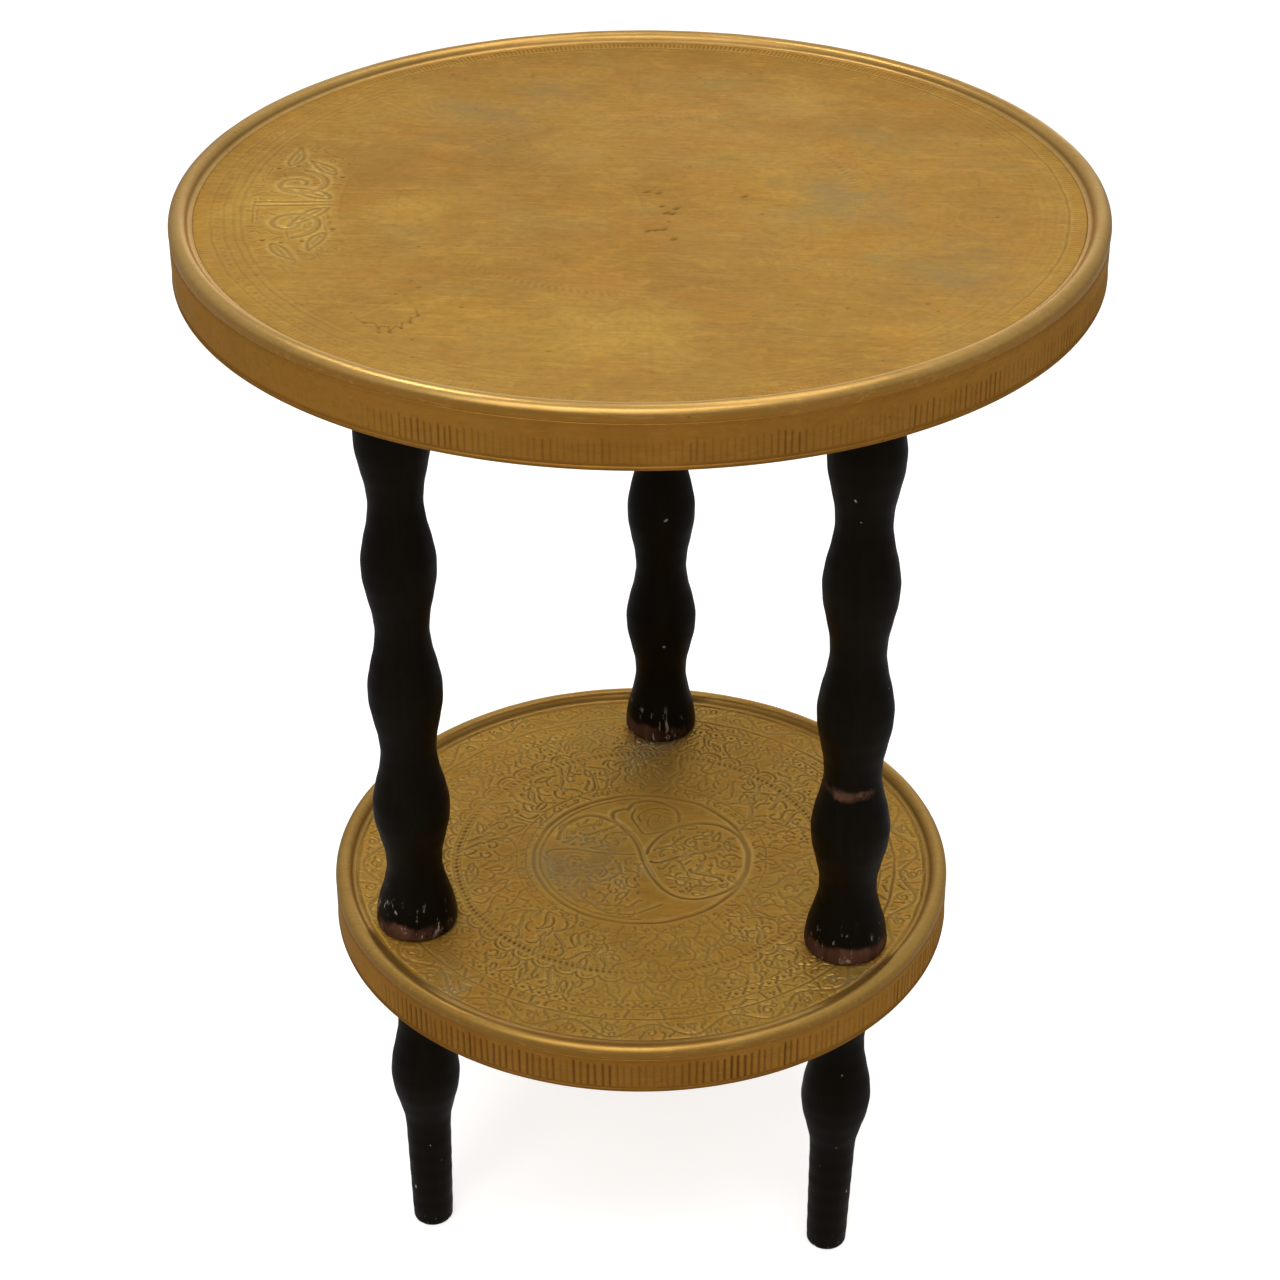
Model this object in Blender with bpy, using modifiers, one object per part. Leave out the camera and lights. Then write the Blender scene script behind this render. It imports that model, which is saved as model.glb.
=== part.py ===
"""Two-tier brass tray table: two wooden discs clad in brass, on three turned legs that screw together.

Metres, +Z up. The origin is on the floor, under the centre of the table. The gap between the two front
legs faces -Y, and the third leg stands at +Y.
"""

import math

import bpy

# Driving dimensions
MM = 0.001
TABLE_HEIGHT = 595.5 * MM
TOP_RADIUS = 220 * MM
TOP_DEPTH = 29.3 * MM
SHELF_RADIUS = 164.6 * MM
SHELF_RIM_HEIGHT = 212.5 * MM
SHELF_DEPTH = 27.8 * MM
LEG_CIRCLE_RADIUS = 129.4 * MM
LEG_ANGLES = {"rear": 90, "left": 210, "right": 330}

# Brass sheet
SHEET = 1.0 * MM
GAP = 0.3 * MM
BEAD_RADIUS = 4.4 * MM
BEAD_UNDER_RADIUS = 1.8 * MM
EDGE_STEP = 0.4 * MM
SKIRT_INSET = 2.1 * MM
SKIRT_DEPTH = 16 * MM
BAND_TOP = 7.3 * MM
BAND_INSET = 0.8 * MM
HEM_RADIUS = 1.6 * MM
FLANGE_WIDTH = 10 * MM

# Fasteners
STUD_RADIUS = 4.0 * MM
STUD_CHAMFER = 0.8 * MM
THREAD_BORE_RADIUS = 4.3 * MM
WOOD_BORE_RADIUS = 4.4 * MM
PASSAGE_RADIUS = 4.6 * MM
STUD_IN_UPPER_LEG = 28 * MM
STUD_IN_LOWER_LEG = 22 * MM
TEE_FLANGE_RADIUS = 10 * MM
TEE_FLANGE = 1.5 * MM
TEE_BARREL_RADIUS = 5.2 * MM
TEE_LENGTH = 12.5 * MM
INSERT_RADIUS = 6.2 * MM
INSERT_LENGTH = 18 * MM
TACK_HEAD_RADIUS = 2.3 * MM
TACK_HEAD = 0.8 * MM
TACK_SHANK_RADIUS = 0.7 * MM
TACK_LENGTH = 9 * MM
TACK_HOLE_RADIUS = 1.1 * MM
TOP_TACKS = 12
SHELF_TACKS = 8

# Facets round the axis, and along half a wave of a leg
RIM_STEPS = 48
LEG_STEPS = 16
SMALL_STEPS = 8
HALF_WAVE_STEPS = 3

# Derived heights. The bead's inner foot stands on the sheet's stepped edge.
FLOOR_BELOW_RIM = BEAD_RADIUS + GAP - EDGE_STEP
TOP_FLOOR = TABLE_HEIGHT - FLOOR_BELOW_RIM
TOP_UNDERSIDE = TABLE_HEIGHT - TOP_DEPTH
SHELF_FLOOR = SHELF_RIM_HEIGHT - FLOOR_BELOW_RIM
SHELF_UNDERSIDE = SHELF_RIM_HEIGHT - SHELF_DEPTH
TOP_BOARD = (TOP_UNDERSIDE + SHEET + GAP, TOP_FLOOR - SHEET - GAP)
SHELF_BOARD = (SHELF_UNDERSIDE + SHEET + GAP, SHELF_FLOOR - SHEET - GAP)
UPPER_LEG = (SHELF_FLOOR + GAP, TOP_BOARD[0] - GAP)
LOWER_LEG_TOP = SHELF_BOARD[0] - GAP

# Where the turned legs swell and narrow: height and radius of each crest and waist, from the top down
UPPER_LEG_WAVES = [
    (UPPER_LEG[1] - 3 * MM, 20.5 * MM),
    (531.5 * MM, 13.6 * MM),
    (496.1 * MM, 18.8 * MM),
    (460.1 * MM, 13.8 * MM),
    (424.9 * MM, 18.8 * MM),
    (387.9 * MM, 13.8 * MM),
    (352.3 * MM, 19.0 * MM),
    (316.7 * MM, 14.4 * MM),
    (282.1 * MM, 19.9 * MM),
    (247.5 * MM, 14.6 * MM),
    (UPPER_LEG[0] + 3 * MM, 21.3 * MM),
]
LOWER_LEG_WAVES = [
    (LOWER_LEG_TOP - 3 * MM, 19.5 * MM),
    (145.0 * MM, 13.2 * MM),
    (106.2 * MM, 18.5 * MM),
    (67.8 * MM, 12.2 * MM),
]
LEG_END_RADIUS = 17.5 * MM
FOOT_RADIUS = 10.9 * MM
FOOT_FLAT_RADIUS = 8.0 * MM
FOOT_ROUND = 3.5 * MM

MATERIALS = {
    "sheet_brass": ((0.53, 0.34, 0.12), 0.38, 1.0),
    "rim_brass": ((0.62, 0.42, 0.16), 0.30, 1.0),
    "band_brass": ((0.44, 0.27, 0.07), 0.38, 1.0),
    "ebonised_wood": ((0.012, 0.010, 0.009), 0.35, 0.0),
    "board_wood": ((0.33, 0.19, 0.10), 0.70, 0.0),
    "steel": ((0.50, 0.50, 0.50), 0.40, 1.0),
    "tack_brass": ((0.58, 0.38, 0.12), 0.35, 1.0),
}


def clear_scene():
    for obj in list(bpy.data.objects):
        bpy.data.objects.remove(obj, do_unlink=True)


def new_collection(name):
    collection = bpy.data.collections.new(name)
    bpy.context.scene.collection.children.link(collection)
    return collection


def new_material(name):
    colour, roughness, metallic = MATERIALS[name]
    material = bpy.data.materials.new(name)
    material.use_nodes = True
    shader = material.node_tree.nodes["Principled BSDF"]
    shader.inputs["Base Color"].default_value = (*colour, 1.0)
    shader.inputs["Roughness"].default_value = roughness
    shader.inputs["Metallic"].default_value = metallic
    return material


def turned(name, profile, steps, material, collection, closed=False, thickness=None):
    """A profile of (radius, height) points turned about Z. With a thickness, the profile is a sheet's outer face."""
    edges = [(i, i + 1) for i in range(len(profile) - 1)]
    if closed:
        edges.append((len(profile) - 1, 0))
    mesh = bpy.data.meshes.new(name)
    mesh.from_pydata([(radius, 0, height) for radius, height in profile], edges, [])
    obj = bpy.data.objects.new(name, mesh)
    collection.objects.link(obj)
    mesh.materials.append(material)
    screw = obj.modifiers.new("Turn", "SCREW")
    screw.steps = screw.render_steps = steps
    screw.use_merge_vertices = True
    screw.merge_threshold = 0.00001
    screw.use_smooth_shade = True
    if thickness:
        solidify = obj.modifiers.new("Sheet", "SOLIDIFY")
        solidify.thickness = thickness
        solidify.offset = -1
        solidify.use_even_offset = True
    return obj


def arc(centre, radius, start, end, steps):
    """Points of (radius, height) along an arc, its angles in degrees above the outward direction."""
    angles = [start + (end - start) * i / steps for i in range(steps + 1)]
    return [
        (
            centre[0] + radius * math.cos(math.radians(angle)),
            centre[1] + radius * math.sin(math.radians(angle)),
        )
        for angle in angles
    ]


def cut(obj, cutter):
    boolean = obj.modifiers.new(f"Cut {cutter.name}", "BOOLEAN")
    boolean.operation = "DIFFERENCE"
    boolean.object = cutter


def new_cutter(name, profile, steps, location, collection):
    """A turned solid that only cuts, from its (radius, height) profile."""
    cutter = turned(name, profile, steps, MATERIAL["steel"], collection)
    cutter.location = location
    cutter.hide_render = True
    cutter.display_type = "WIRE"
    return cutter


def plain_cylinder(radius, bottom, top):
    return [(0, top), (radius, top), (radius, bottom), (0, bottom)]


def on_circle(radius, degrees, height=0.0):
    angle = math.radians(degrees)
    return (radius * math.cos(angle), radius * math.sin(angle), height)


def sheet_profile(radius, floor, edge_radius):
    """A flat sheet whose edge is beaten thinner where the rim's bead stands on it."""
    inner = radius - 2 * BEAD_RADIUS - GAP
    return [
        (0, floor),
        (inner, floor),
        (inner, floor - EDGE_STEP),
        (edge_radius, floor - EDGE_STEP),
        (edge_radius, floor - SHEET),
        (0, floor - SHEET),
    ]


def rim_profile(radius, rim):
    """Outer face of the rim hoop: a half-round bead, its tuck under and the skirt over the board's edge."""
    bead_centre = (radius - BEAD_RADIUS, rim - BEAD_RADIUS)
    under_centre = (radius - BEAD_UNDER_RADIUS, rim - BEAD_RADIUS)
    skirt = radius - SKIRT_INSET
    return (
        arc(bead_centre, BEAD_RADIUS, 180, 0, 6)
        + arc(under_centre, BEAD_UNDER_RADIUS, -40, -80, 1)
        + [(skirt, rim - BEAD_RADIUS - BEAD_UNDER_RADIUS - GAP), (skirt, rim - SKIRT_DEPTH)]
    )


def band_profile(radius, rim, underside):
    """Outer face of the edge band: its stepped top, the wall, the hem bead and the flange under the board."""
    wall = radius - BAND_INSET
    hem_centre = (wall - HEM_RADIUS + 0.6 * MM, underside + HEM_RADIUS)
    return (
        [(wall - 0.4 * MM, rim - BAND_TOP), (wall, rim - BAND_TOP - 0.7 * MM)]
        + [(wall, underside + 2 * HEM_RADIUS + 0.5 * MM)]
        + arc(hem_centre, HEM_RADIUS, 30, -90, 3)
        + [(wall - FLANGE_WIDTH, underside)]
    )


def wave_profile(waves):
    """Smooth half waves between the crests and waists, as a woodturner cuts coves and beads."""
    points = [(waves[0][1], waves[0][0])]
    for (z_from, r_from), (z_to, r_to) in zip(waves, waves[1:]):
        for step in range(1, HALF_WAVE_STEPS + 1):
            share = step / HALF_WAVE_STEPS
            swing = (1 - math.cos(math.pi * share)) / 2
            points.append((r_from + (r_to - r_from) * swing, z_from + (z_to - z_from) * share))
    return points


def upper_leg_profile():
    """A wavy post with a bore for a stud in each end."""
    bottom, top = UPPER_LEG
    bore = WOOD_BORE_RADIUS
    top_bore_end = top - STUD_IN_UPPER_LEG - GAP
    bottom_bore_end = bottom + STUD_IN_UPPER_LEG + GAP
    return (
        [(0, top_bore_end), (bore, top_bore_end), (bore, top), (LEG_END_RADIUS, top)]
        + wave_profile(UPPER_LEG_WAVES)
        + [(LEG_END_RADIUS, bottom), (bore, bottom), (bore, bottom_bore_end), (0, bottom_bore_end)]
    )


def lower_leg_profile():
    """One swelling, then a plain tapered foot with a rounded end. A bore in its top holds the threaded insert."""
    seat = INSERT_RADIUS + GAP
    seat_end = LOWER_LEG_TOP - INSERT_LENGTH - 2 * GAP
    bore_end = LOWER_LEG_TOP - STUD_IN_LOWER_LEG - 2 * MM
    return (
        [(0, bore_end), (WOOD_BORE_RADIUS, bore_end), (WOOD_BORE_RADIUS, seat_end), (seat, seat_end)]
        + [(seat, LOWER_LEG_TOP), (LEG_END_RADIUS, LOWER_LEG_TOP)]
        + wave_profile(LOWER_LEG_WAVES)
        + [(FOOT_RADIUS, FOOT_ROUND), ((FOOT_RADIUS + FOOT_FLAT_RADIUS) / 2, 0.9 * MM)]
        + [(FOOT_FLAT_RADIUS, 0), (0, 0)]
    )


def stud_profile(bottom, top):
    radius, chamfer = STUD_RADIUS, STUD_CHAMFER
    return (
        [(0, top), (radius - chamfer, top), (radius, top - chamfer)]
        + [(radius, bottom + chamfer), (radius - chamfer, bottom), (0, bottom)]
    )


def tube_profile(outer, inner, bottom, top):
    return [(inner, top), (outer, top), (outer, bottom), (inner, bottom)]


def tee_nut_profile(top):
    """A flange that bears on the board's top face, and a barrel that the stud screws up into."""
    inner, barrel = THREAD_BORE_RADIUS, TEE_BARREL_RADIUS
    return [
        (inner, top),
        (TEE_FLANGE_RADIUS, top),
        (TEE_FLANGE_RADIUS, top - TEE_FLANGE),
        (barrel, top - TEE_FLANGE),
        (barrel, top - TEE_LENGTH),
        (inner, top - TEE_LENGTH),
    ]


def tack_profile(head_top):
    """A small domed head below the flange, and a shank that runs up into the board to a point."""
    shank_top = head_top + TACK_LENGTH
    return [
        (0, shank_top),
        (TACK_SHANK_RADIUS, shank_top - 2 * MM),
        (TACK_SHANK_RADIUS, head_top),
        (TACK_HEAD_RADIUS, head_top),
        (TACK_HEAD_RADIUS * 0.7, head_top - TACK_HEAD),
        (0, head_top - TACK_HEAD),
    ]


def make_tier(tier, radius, rim, underside, board, tacks):
    """One brass-clad disc: board, engraved sheet, rim hoop, edge band and the tacks under the band's flange."""
    board_radius = radius - SKIRT_INSET - SHEET - GAP
    sheet = turned(
        f"{tier}_sheet",
        sheet_profile(radius, rim - FLOOR_BELOW_RIM, board_radius),
        RIM_STEPS,
        MATERIAL["sheet_brass"],
        PARTS,
    )
    turned(
        f"{tier}_rim",
        rim_profile(radius, rim),
        RIM_STEPS,
        MATERIAL["rim_brass"],
        PARTS,
        thickness=SHEET,
    )
    band = turned(
        f"{tier}_edge_band",
        band_profile(radius, rim, underside),
        RIM_STEPS,
        MATERIAL["band_brass"],
        PARTS,
        thickness=SHEET,
    )
    wood = turned(
        f"{tier}_board",
        plain_cylinder(board_radius, *board),
        RIM_STEPS,
        MATERIAL["board_wood"],
        PARTS,
    )
    tack_circle = radius - BAND_INSET - FLANGE_WIDTH * 0.6
    hole = plain_cylinder(TACK_HOLE_RADIUS, underside - MM, underside + TACK_LENGTH + MM)
    for i in range(tacks):
        degrees = 360 * (i + 0.5) / tacks
        place = on_circle(tack_circle, degrees)
        cutter = new_cutter(f"{tier}_tack_hole_{i + 1:02d}", hole, 6, place, CUTTERS)
        cut(band, cutter)
        cut(wood, cutter)
        tack = turned(
            f"{tier}_tack_{i + 1:02d}",
            tack_profile(underside - GAP),
            SMALL_STEPS,
            MATERIAL["tack_brass"],
            PARTS,
        )
        tack.location = place
    return sheet, wood


def make_leg(side, degrees, top_board, shelf_sheet, shelf_board):
    """One leg station: upper leg, shelf stud, lower leg with its insert, and the stud and tee nut under the top."""
    station = bpy.data.objects.new(f"{side}_leg_station", None)
    station.location = on_circle(LEG_CIRCLE_RADIUS, degrees)
    PARTS.objects.link(station)

    shelf_stud = (LOWER_LEG_TOP - STUD_IN_LOWER_LEG, UPPER_LEG[0] + STUD_IN_UPPER_LEG)
    tee_top = TOP_BOARD[1] - GAP
    top_stud = (UPPER_LEG[1] - STUD_IN_UPPER_LEG, tee_top - MM)
    insert = (LOWER_LEG_TOP - INSERT_LENGTH - GAP, LOWER_LEG_TOP - GAP)
    pieces = [
        ("upper_leg", upper_leg_profile(), LEG_STEPS, "ebonised_wood", False),
        ("lower_leg", lower_leg_profile(), LEG_STEPS, "ebonised_wood", False),
        ("shelf_stud", stud_profile(*shelf_stud), SMALL_STEPS, "steel", False),
        ("top_stud", stud_profile(*top_stud), SMALL_STEPS, "steel", False),
        ("threaded_insert", tube_profile(INSERT_RADIUS, THREAD_BORE_RADIUS, *insert), 12, "steel", True),
        ("tee_nut", tee_nut_profile(tee_top), 12, "steel", True),
    ]
    for name, profile, steps, material, closed in pieces:
        piece = turned(f"{name}_{side}", profile, steps, MATERIAL[material], PARTS, closed=closed)
        piece.parent = station

    recess = TEE_FLANGE + 2 * GAP
    tee_hole = [
        (0, TOP_BOARD[1] + MM),
        (TEE_FLANGE_RADIUS + GAP, TOP_BOARD[1] + MM),
        (TEE_FLANGE_RADIUS + GAP, TOP_BOARD[1] - recess),
        (TEE_BARREL_RADIUS + GAP, TOP_BOARD[1] - recess),
        (TEE_BARREL_RADIUS + GAP, TOP_BOARD[0] - MM),
        (0, TOP_BOARD[0] - MM),
    ]
    cut(top_board, new_cutter(f"tee_nut_hole_{side}", tee_hole, 12, station.location, CUTTERS))
    passage = plain_cylinder(PASSAGE_RADIUS, SHELF_UNDERSIDE - MM, SHELF_FLOOR + MM)
    passage_cutter = new_cutter(f"shelf_hole_{side}", passage, 12, station.location, CUTTERS)
    cut(shelf_sheet, passage_cutter)
    cut(shelf_board, passage_cutter)


clear_scene()
PARTS = new_collection("brass_tray_table")
CUTTERS = new_collection("cutters")
MATERIAL = {name: new_material(name) for name in MATERIALS}

_, top_board = make_tier("top", TOP_RADIUS, TABLE_HEIGHT, TOP_UNDERSIDE, TOP_BOARD, TOP_TACKS)
shelf_sheet, shelf_board = make_tier(
    "shelf", SHELF_RADIUS, SHELF_RIM_HEIGHT, SHELF_UNDERSIDE, SHELF_BOARD, SHELF_TACKS
)
for side, degrees in LEG_ANGLES.items():
    make_leg(side, degrees, top_board, shelf_sheet, shelf_board)
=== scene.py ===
"""Looks of a two-tier brass tray table: engraved sheets, rolled rims, ribbed bands, worn ebonised legs.

Metres, +Z up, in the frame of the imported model. Ornament is drawn in millimetres and scaled at the end.
"""

import math

import bpy
import numpy as np
from mathutils import Euler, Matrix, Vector


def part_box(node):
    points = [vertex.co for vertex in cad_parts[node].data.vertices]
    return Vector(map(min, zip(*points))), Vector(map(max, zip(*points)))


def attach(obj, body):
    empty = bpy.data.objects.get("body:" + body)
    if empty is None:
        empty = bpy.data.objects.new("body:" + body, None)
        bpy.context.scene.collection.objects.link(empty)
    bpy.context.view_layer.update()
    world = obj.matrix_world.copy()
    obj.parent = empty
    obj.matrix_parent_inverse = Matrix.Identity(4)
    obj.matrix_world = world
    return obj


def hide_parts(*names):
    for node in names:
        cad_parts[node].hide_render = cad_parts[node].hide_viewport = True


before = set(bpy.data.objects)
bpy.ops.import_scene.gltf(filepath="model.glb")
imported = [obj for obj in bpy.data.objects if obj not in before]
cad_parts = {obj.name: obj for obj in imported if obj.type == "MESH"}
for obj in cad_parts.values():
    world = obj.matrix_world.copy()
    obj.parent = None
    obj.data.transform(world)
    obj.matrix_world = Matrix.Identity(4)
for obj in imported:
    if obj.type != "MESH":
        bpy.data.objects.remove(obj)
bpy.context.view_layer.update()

MM = 0.001
TAU = 2 * math.pi

# Brass: its thickness, the rim's bead and the fillet at its foot, and how far in band and skirt stand
SHEET = 1.0
BEAD_RADIUS = 4.4
BEAD_DROP = 0.1
FILLET = 3.0
FILLET_REACH = math.sqrt((BEAD_RADIUS + FILLET) ** 2 - (FILLET + BEAD_DROP) ** 2)
BAND_INSET = 0.1
SKIRT_INSET = 2.1
SKIRT_DEPTH = 16.0
FLANGE_WIDTH = 10.0
HEM = 1.25

# Turned legs: height above the leg's lower end, and radius, of each crest and waist
UPPER_WAVES = [(355.7, 20.5), (323.0, 13.6), (287.6, 18.8), (251.6, 13.8), (216.4, 18.8), (179.4, 13.8)]
UPPER_WAVES += [(143.8, 19.0), (108.2, 14.4), (73.6, 19.9), (39.0, 14.6)]
FLARE_HEIGHT = 3.5
FLARES = {"left": 21.2, "right": 21.5, "rear": 20.0}
GIRTHS = {"left": -0.15, "right": 0.2, "rear": -0.25}
LOWER_WAVES = [(182.7, 19.5), (145.0, 13.2), (106.2, 18.5), (67.8, 12.2)]
FOOT_RADIUS = 10.9
RIGHT_FOOT_LEAN = -3.2
MEAN_RADIUS = 17.0
LEGS = ("left", "right", "rear")
CHIPS = 30

# How finely each kind of piece is divided
SHEET_CELLS = 800
RIM_STEPS = 900
BAND_STEP = 0.45
BAND_ROWS = 26
LEG_STEPS = 72
TACK_STEPS = 24

# Engraving: how deep each sheet is cut, and where the cuts bottom out
CUT_DEPTHS = {"top": 0.60, "shelf": 1.2}
DEEPEST_CUT = SHEET - 0.15
BRUISE_SEED = 31


# ---------------------------------------------------------------- meshes


def linked(name, data):
    """A new object that shows the data, in the scene."""
    obj = bpy.data.objects.new(name, data)
    bpy.context.scene.collection.objects.link(obj)
    return obj


def new_object(name, points, faces, attributes):
    """A smooth mesh object from points in millimetres and a list of face arrays, each (faces, corners)."""
    mesh = bpy.data.meshes.new(name)
    corners = np.concatenate([block.ravel() for block in faces]).astype(np.int32)
    counts = np.concatenate([np.full(len(block), block.shape[1]) for block in faces])
    starts = (np.cumsum(counts) - counts).astype(np.int32)
    mesh.vertices.add(len(points))
    mesh.vertices.foreach_set("co", (np.asarray(points) * MM).astype(np.float32).ravel())
    mesh.loops.add(len(corners))
    mesh.loops.foreach_set("vertex_index", corners)
    mesh.polygons.add(len(starts))
    mesh.polygons.foreach_set("loop_start", starts)
    mesh.update(calc_edges=True)
    mesh.shade_smooth()
    for key, values in attributes.items():
        attribute = mesh.attributes.new(key, "FLOAT", "POINT")
        attribute.data.foreach_set("value", np.asarray(values, np.float32).ravel())
    return linked(name, mesh)


def grid_faces(rows, columns, wrap_rows=False, wrap_columns=True):
    """Quads over a grid of points, row by row, joined round where asked."""
    index = np.arange(rows * columns).reshape(rows, columns)
    if wrap_rows:
        index = np.vstack([index, index[:1]])
    if wrap_columns:
        index = np.hstack([index, index[:, :1]])
    quads = np.stack([index[:-1, :-1], index[1:, :-1], index[1:, 1:], index[:-1, 1:]], axis=-1)
    return quads.reshape(-1, 4)


def capped_faces(rows, steps):
    """Faces of a turned grid closed by a fan at each end. The fans' middle points follow the grid's."""
    first = np.arange(steps)
    last = first + (rows - 1) * steps
    middle = np.full(steps, rows * steps)
    top = np.stack([middle, first, np.roll(first, -1)], axis=-1)
    foot = np.stack([middle + 1, np.roll(last, -1), last], axis=-1)
    return [grid_faces(rows, steps), top, foot]


def angles(steps):
    return np.arange(steps) * TAU / steps


def turned_points(radii, heights, steps):
    """Points of a turned grid. radii and heights are per row, or per row and column."""
    turn = angles(steps)[None, :]
    radii = np.asarray(radii, float)
    heights = np.asarray(heights, float)
    radii = radii[:, None] if radii.ndim == 1 else radii
    heights = heights[:, None] if heights.ndim == 1 else heights
    grid = np.broadcast_arrays(radii * np.cos(turn), radii * np.sin(turn), heights)
    return np.stack(grid, axis=-1).reshape(-1, 3)


def arc(centre, radius, start, end, steps):
    """Points of (radius, height) along an arc, its angles in degrees above the outward direction."""
    turn = np.radians(np.linspace(start, end, steps + 1))
    return np.stack([centre[0] + radius * np.cos(turn), centre[1] + radius * np.sin(turn)], axis=-1)


def line(start, end, steps):
    """Points along a straight line, without its first."""
    share = np.linspace(0, 1, steps + 1)[1:, None]
    return np.asarray(start) * (1 - share) + np.asarray(end) * share


def hoop(name, radii, heights, attributes):
    """A closed hoop, from radii and heights per point of its section and per step round it."""
    rows, steps = radii.shape
    faces = [grid_faces(rows, steps, wrap_rows=True)]
    return new_object(name, turned_points(radii, heights, steps), faces, attributes)


def sheet_section(outer, thickness):
    """The closed section of a metal sheet, from the (radius, height) points of its outer face."""
    along = np.gradient(outer, axis=0)
    along /= np.linalg.norm(along, axis=1)[:, None]
    outward = np.stack([-along[:, 1], along[:, 0]], axis=-1)
    inner = outer - outward * thickness
    return np.vstack([outer, inner[::-1]])


def smooth(low, high, value):
    share = np.clip((value - low) / (high - low), 0, 1)
    return share * share * (3 - 2 * share)


def bell(value, width):
    """1 at zero, falling softly to nothing at about twice the width."""
    return np.exp(-((value / width) ** 2))


def uneven(turn, seed, waves=(2, 3, 5, 8, 13)):
    """A smooth, uneven swing round the axis, between about -1 and 1."""
    phases = np.random.default_rng(seed).uniform(0, TAU, len(waves))
    return sum(np.sin(n * turn + p) / (1 + 0.35 * k) for k, (n, p) in enumerate(zip(waves, phases))) / 3


# ---------------------------------------------------------------- engraving


def polar(radius, degrees):
    turn = np.radians(degrees)
    return np.stack(np.broadcast_arrays(radius * np.cos(turn), radius * np.sin(turn)), axis=-1)


def ring(radius, start=0.0, end=360.0):
    return polar(radius, np.linspace(start, end, max(8, int(abs(end - start) * 1.5))))


def turned(spot, degrees, along, across):
    """Points measured along and across a direction, placed at a spot."""
    turn = math.radians(degrees)
    cos, sin = math.cos(turn), math.sin(turn)
    return np.stack([spot[0] + cos * along - sin * across, spot[1] + sin * along + cos * across], axis=-1)


def spiral(centre, start_radius, end_radius, start_degrees, turns):
    """A curl that tightens from its start radius. Negative turns wind it clockwise."""
    share = np.linspace(0, 1, max(16, int(abs(turns) * 40)))
    radius = start_radius + (end_radius - start_radius) * share**0.8
    return np.asarray(centre) + polar(radius, start_degrees + 360 * turns * share)


def leaf(base, degrees, length, width):
    """Both edges and the midrib of a pointed leaf."""
    share = np.linspace(0, 1, 14)
    bulge = width * np.sin(np.pi * share**0.8) * (1 - 0.25 * share)
    bend = 0.18 * length * share**2
    edges = [turned(base, degrees, length * share, side * bulge / 2 + bend) for side in (1, -1)]
    return [*edges, turned(base, degrees, length * share[2:10], bend[2:10])]


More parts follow.
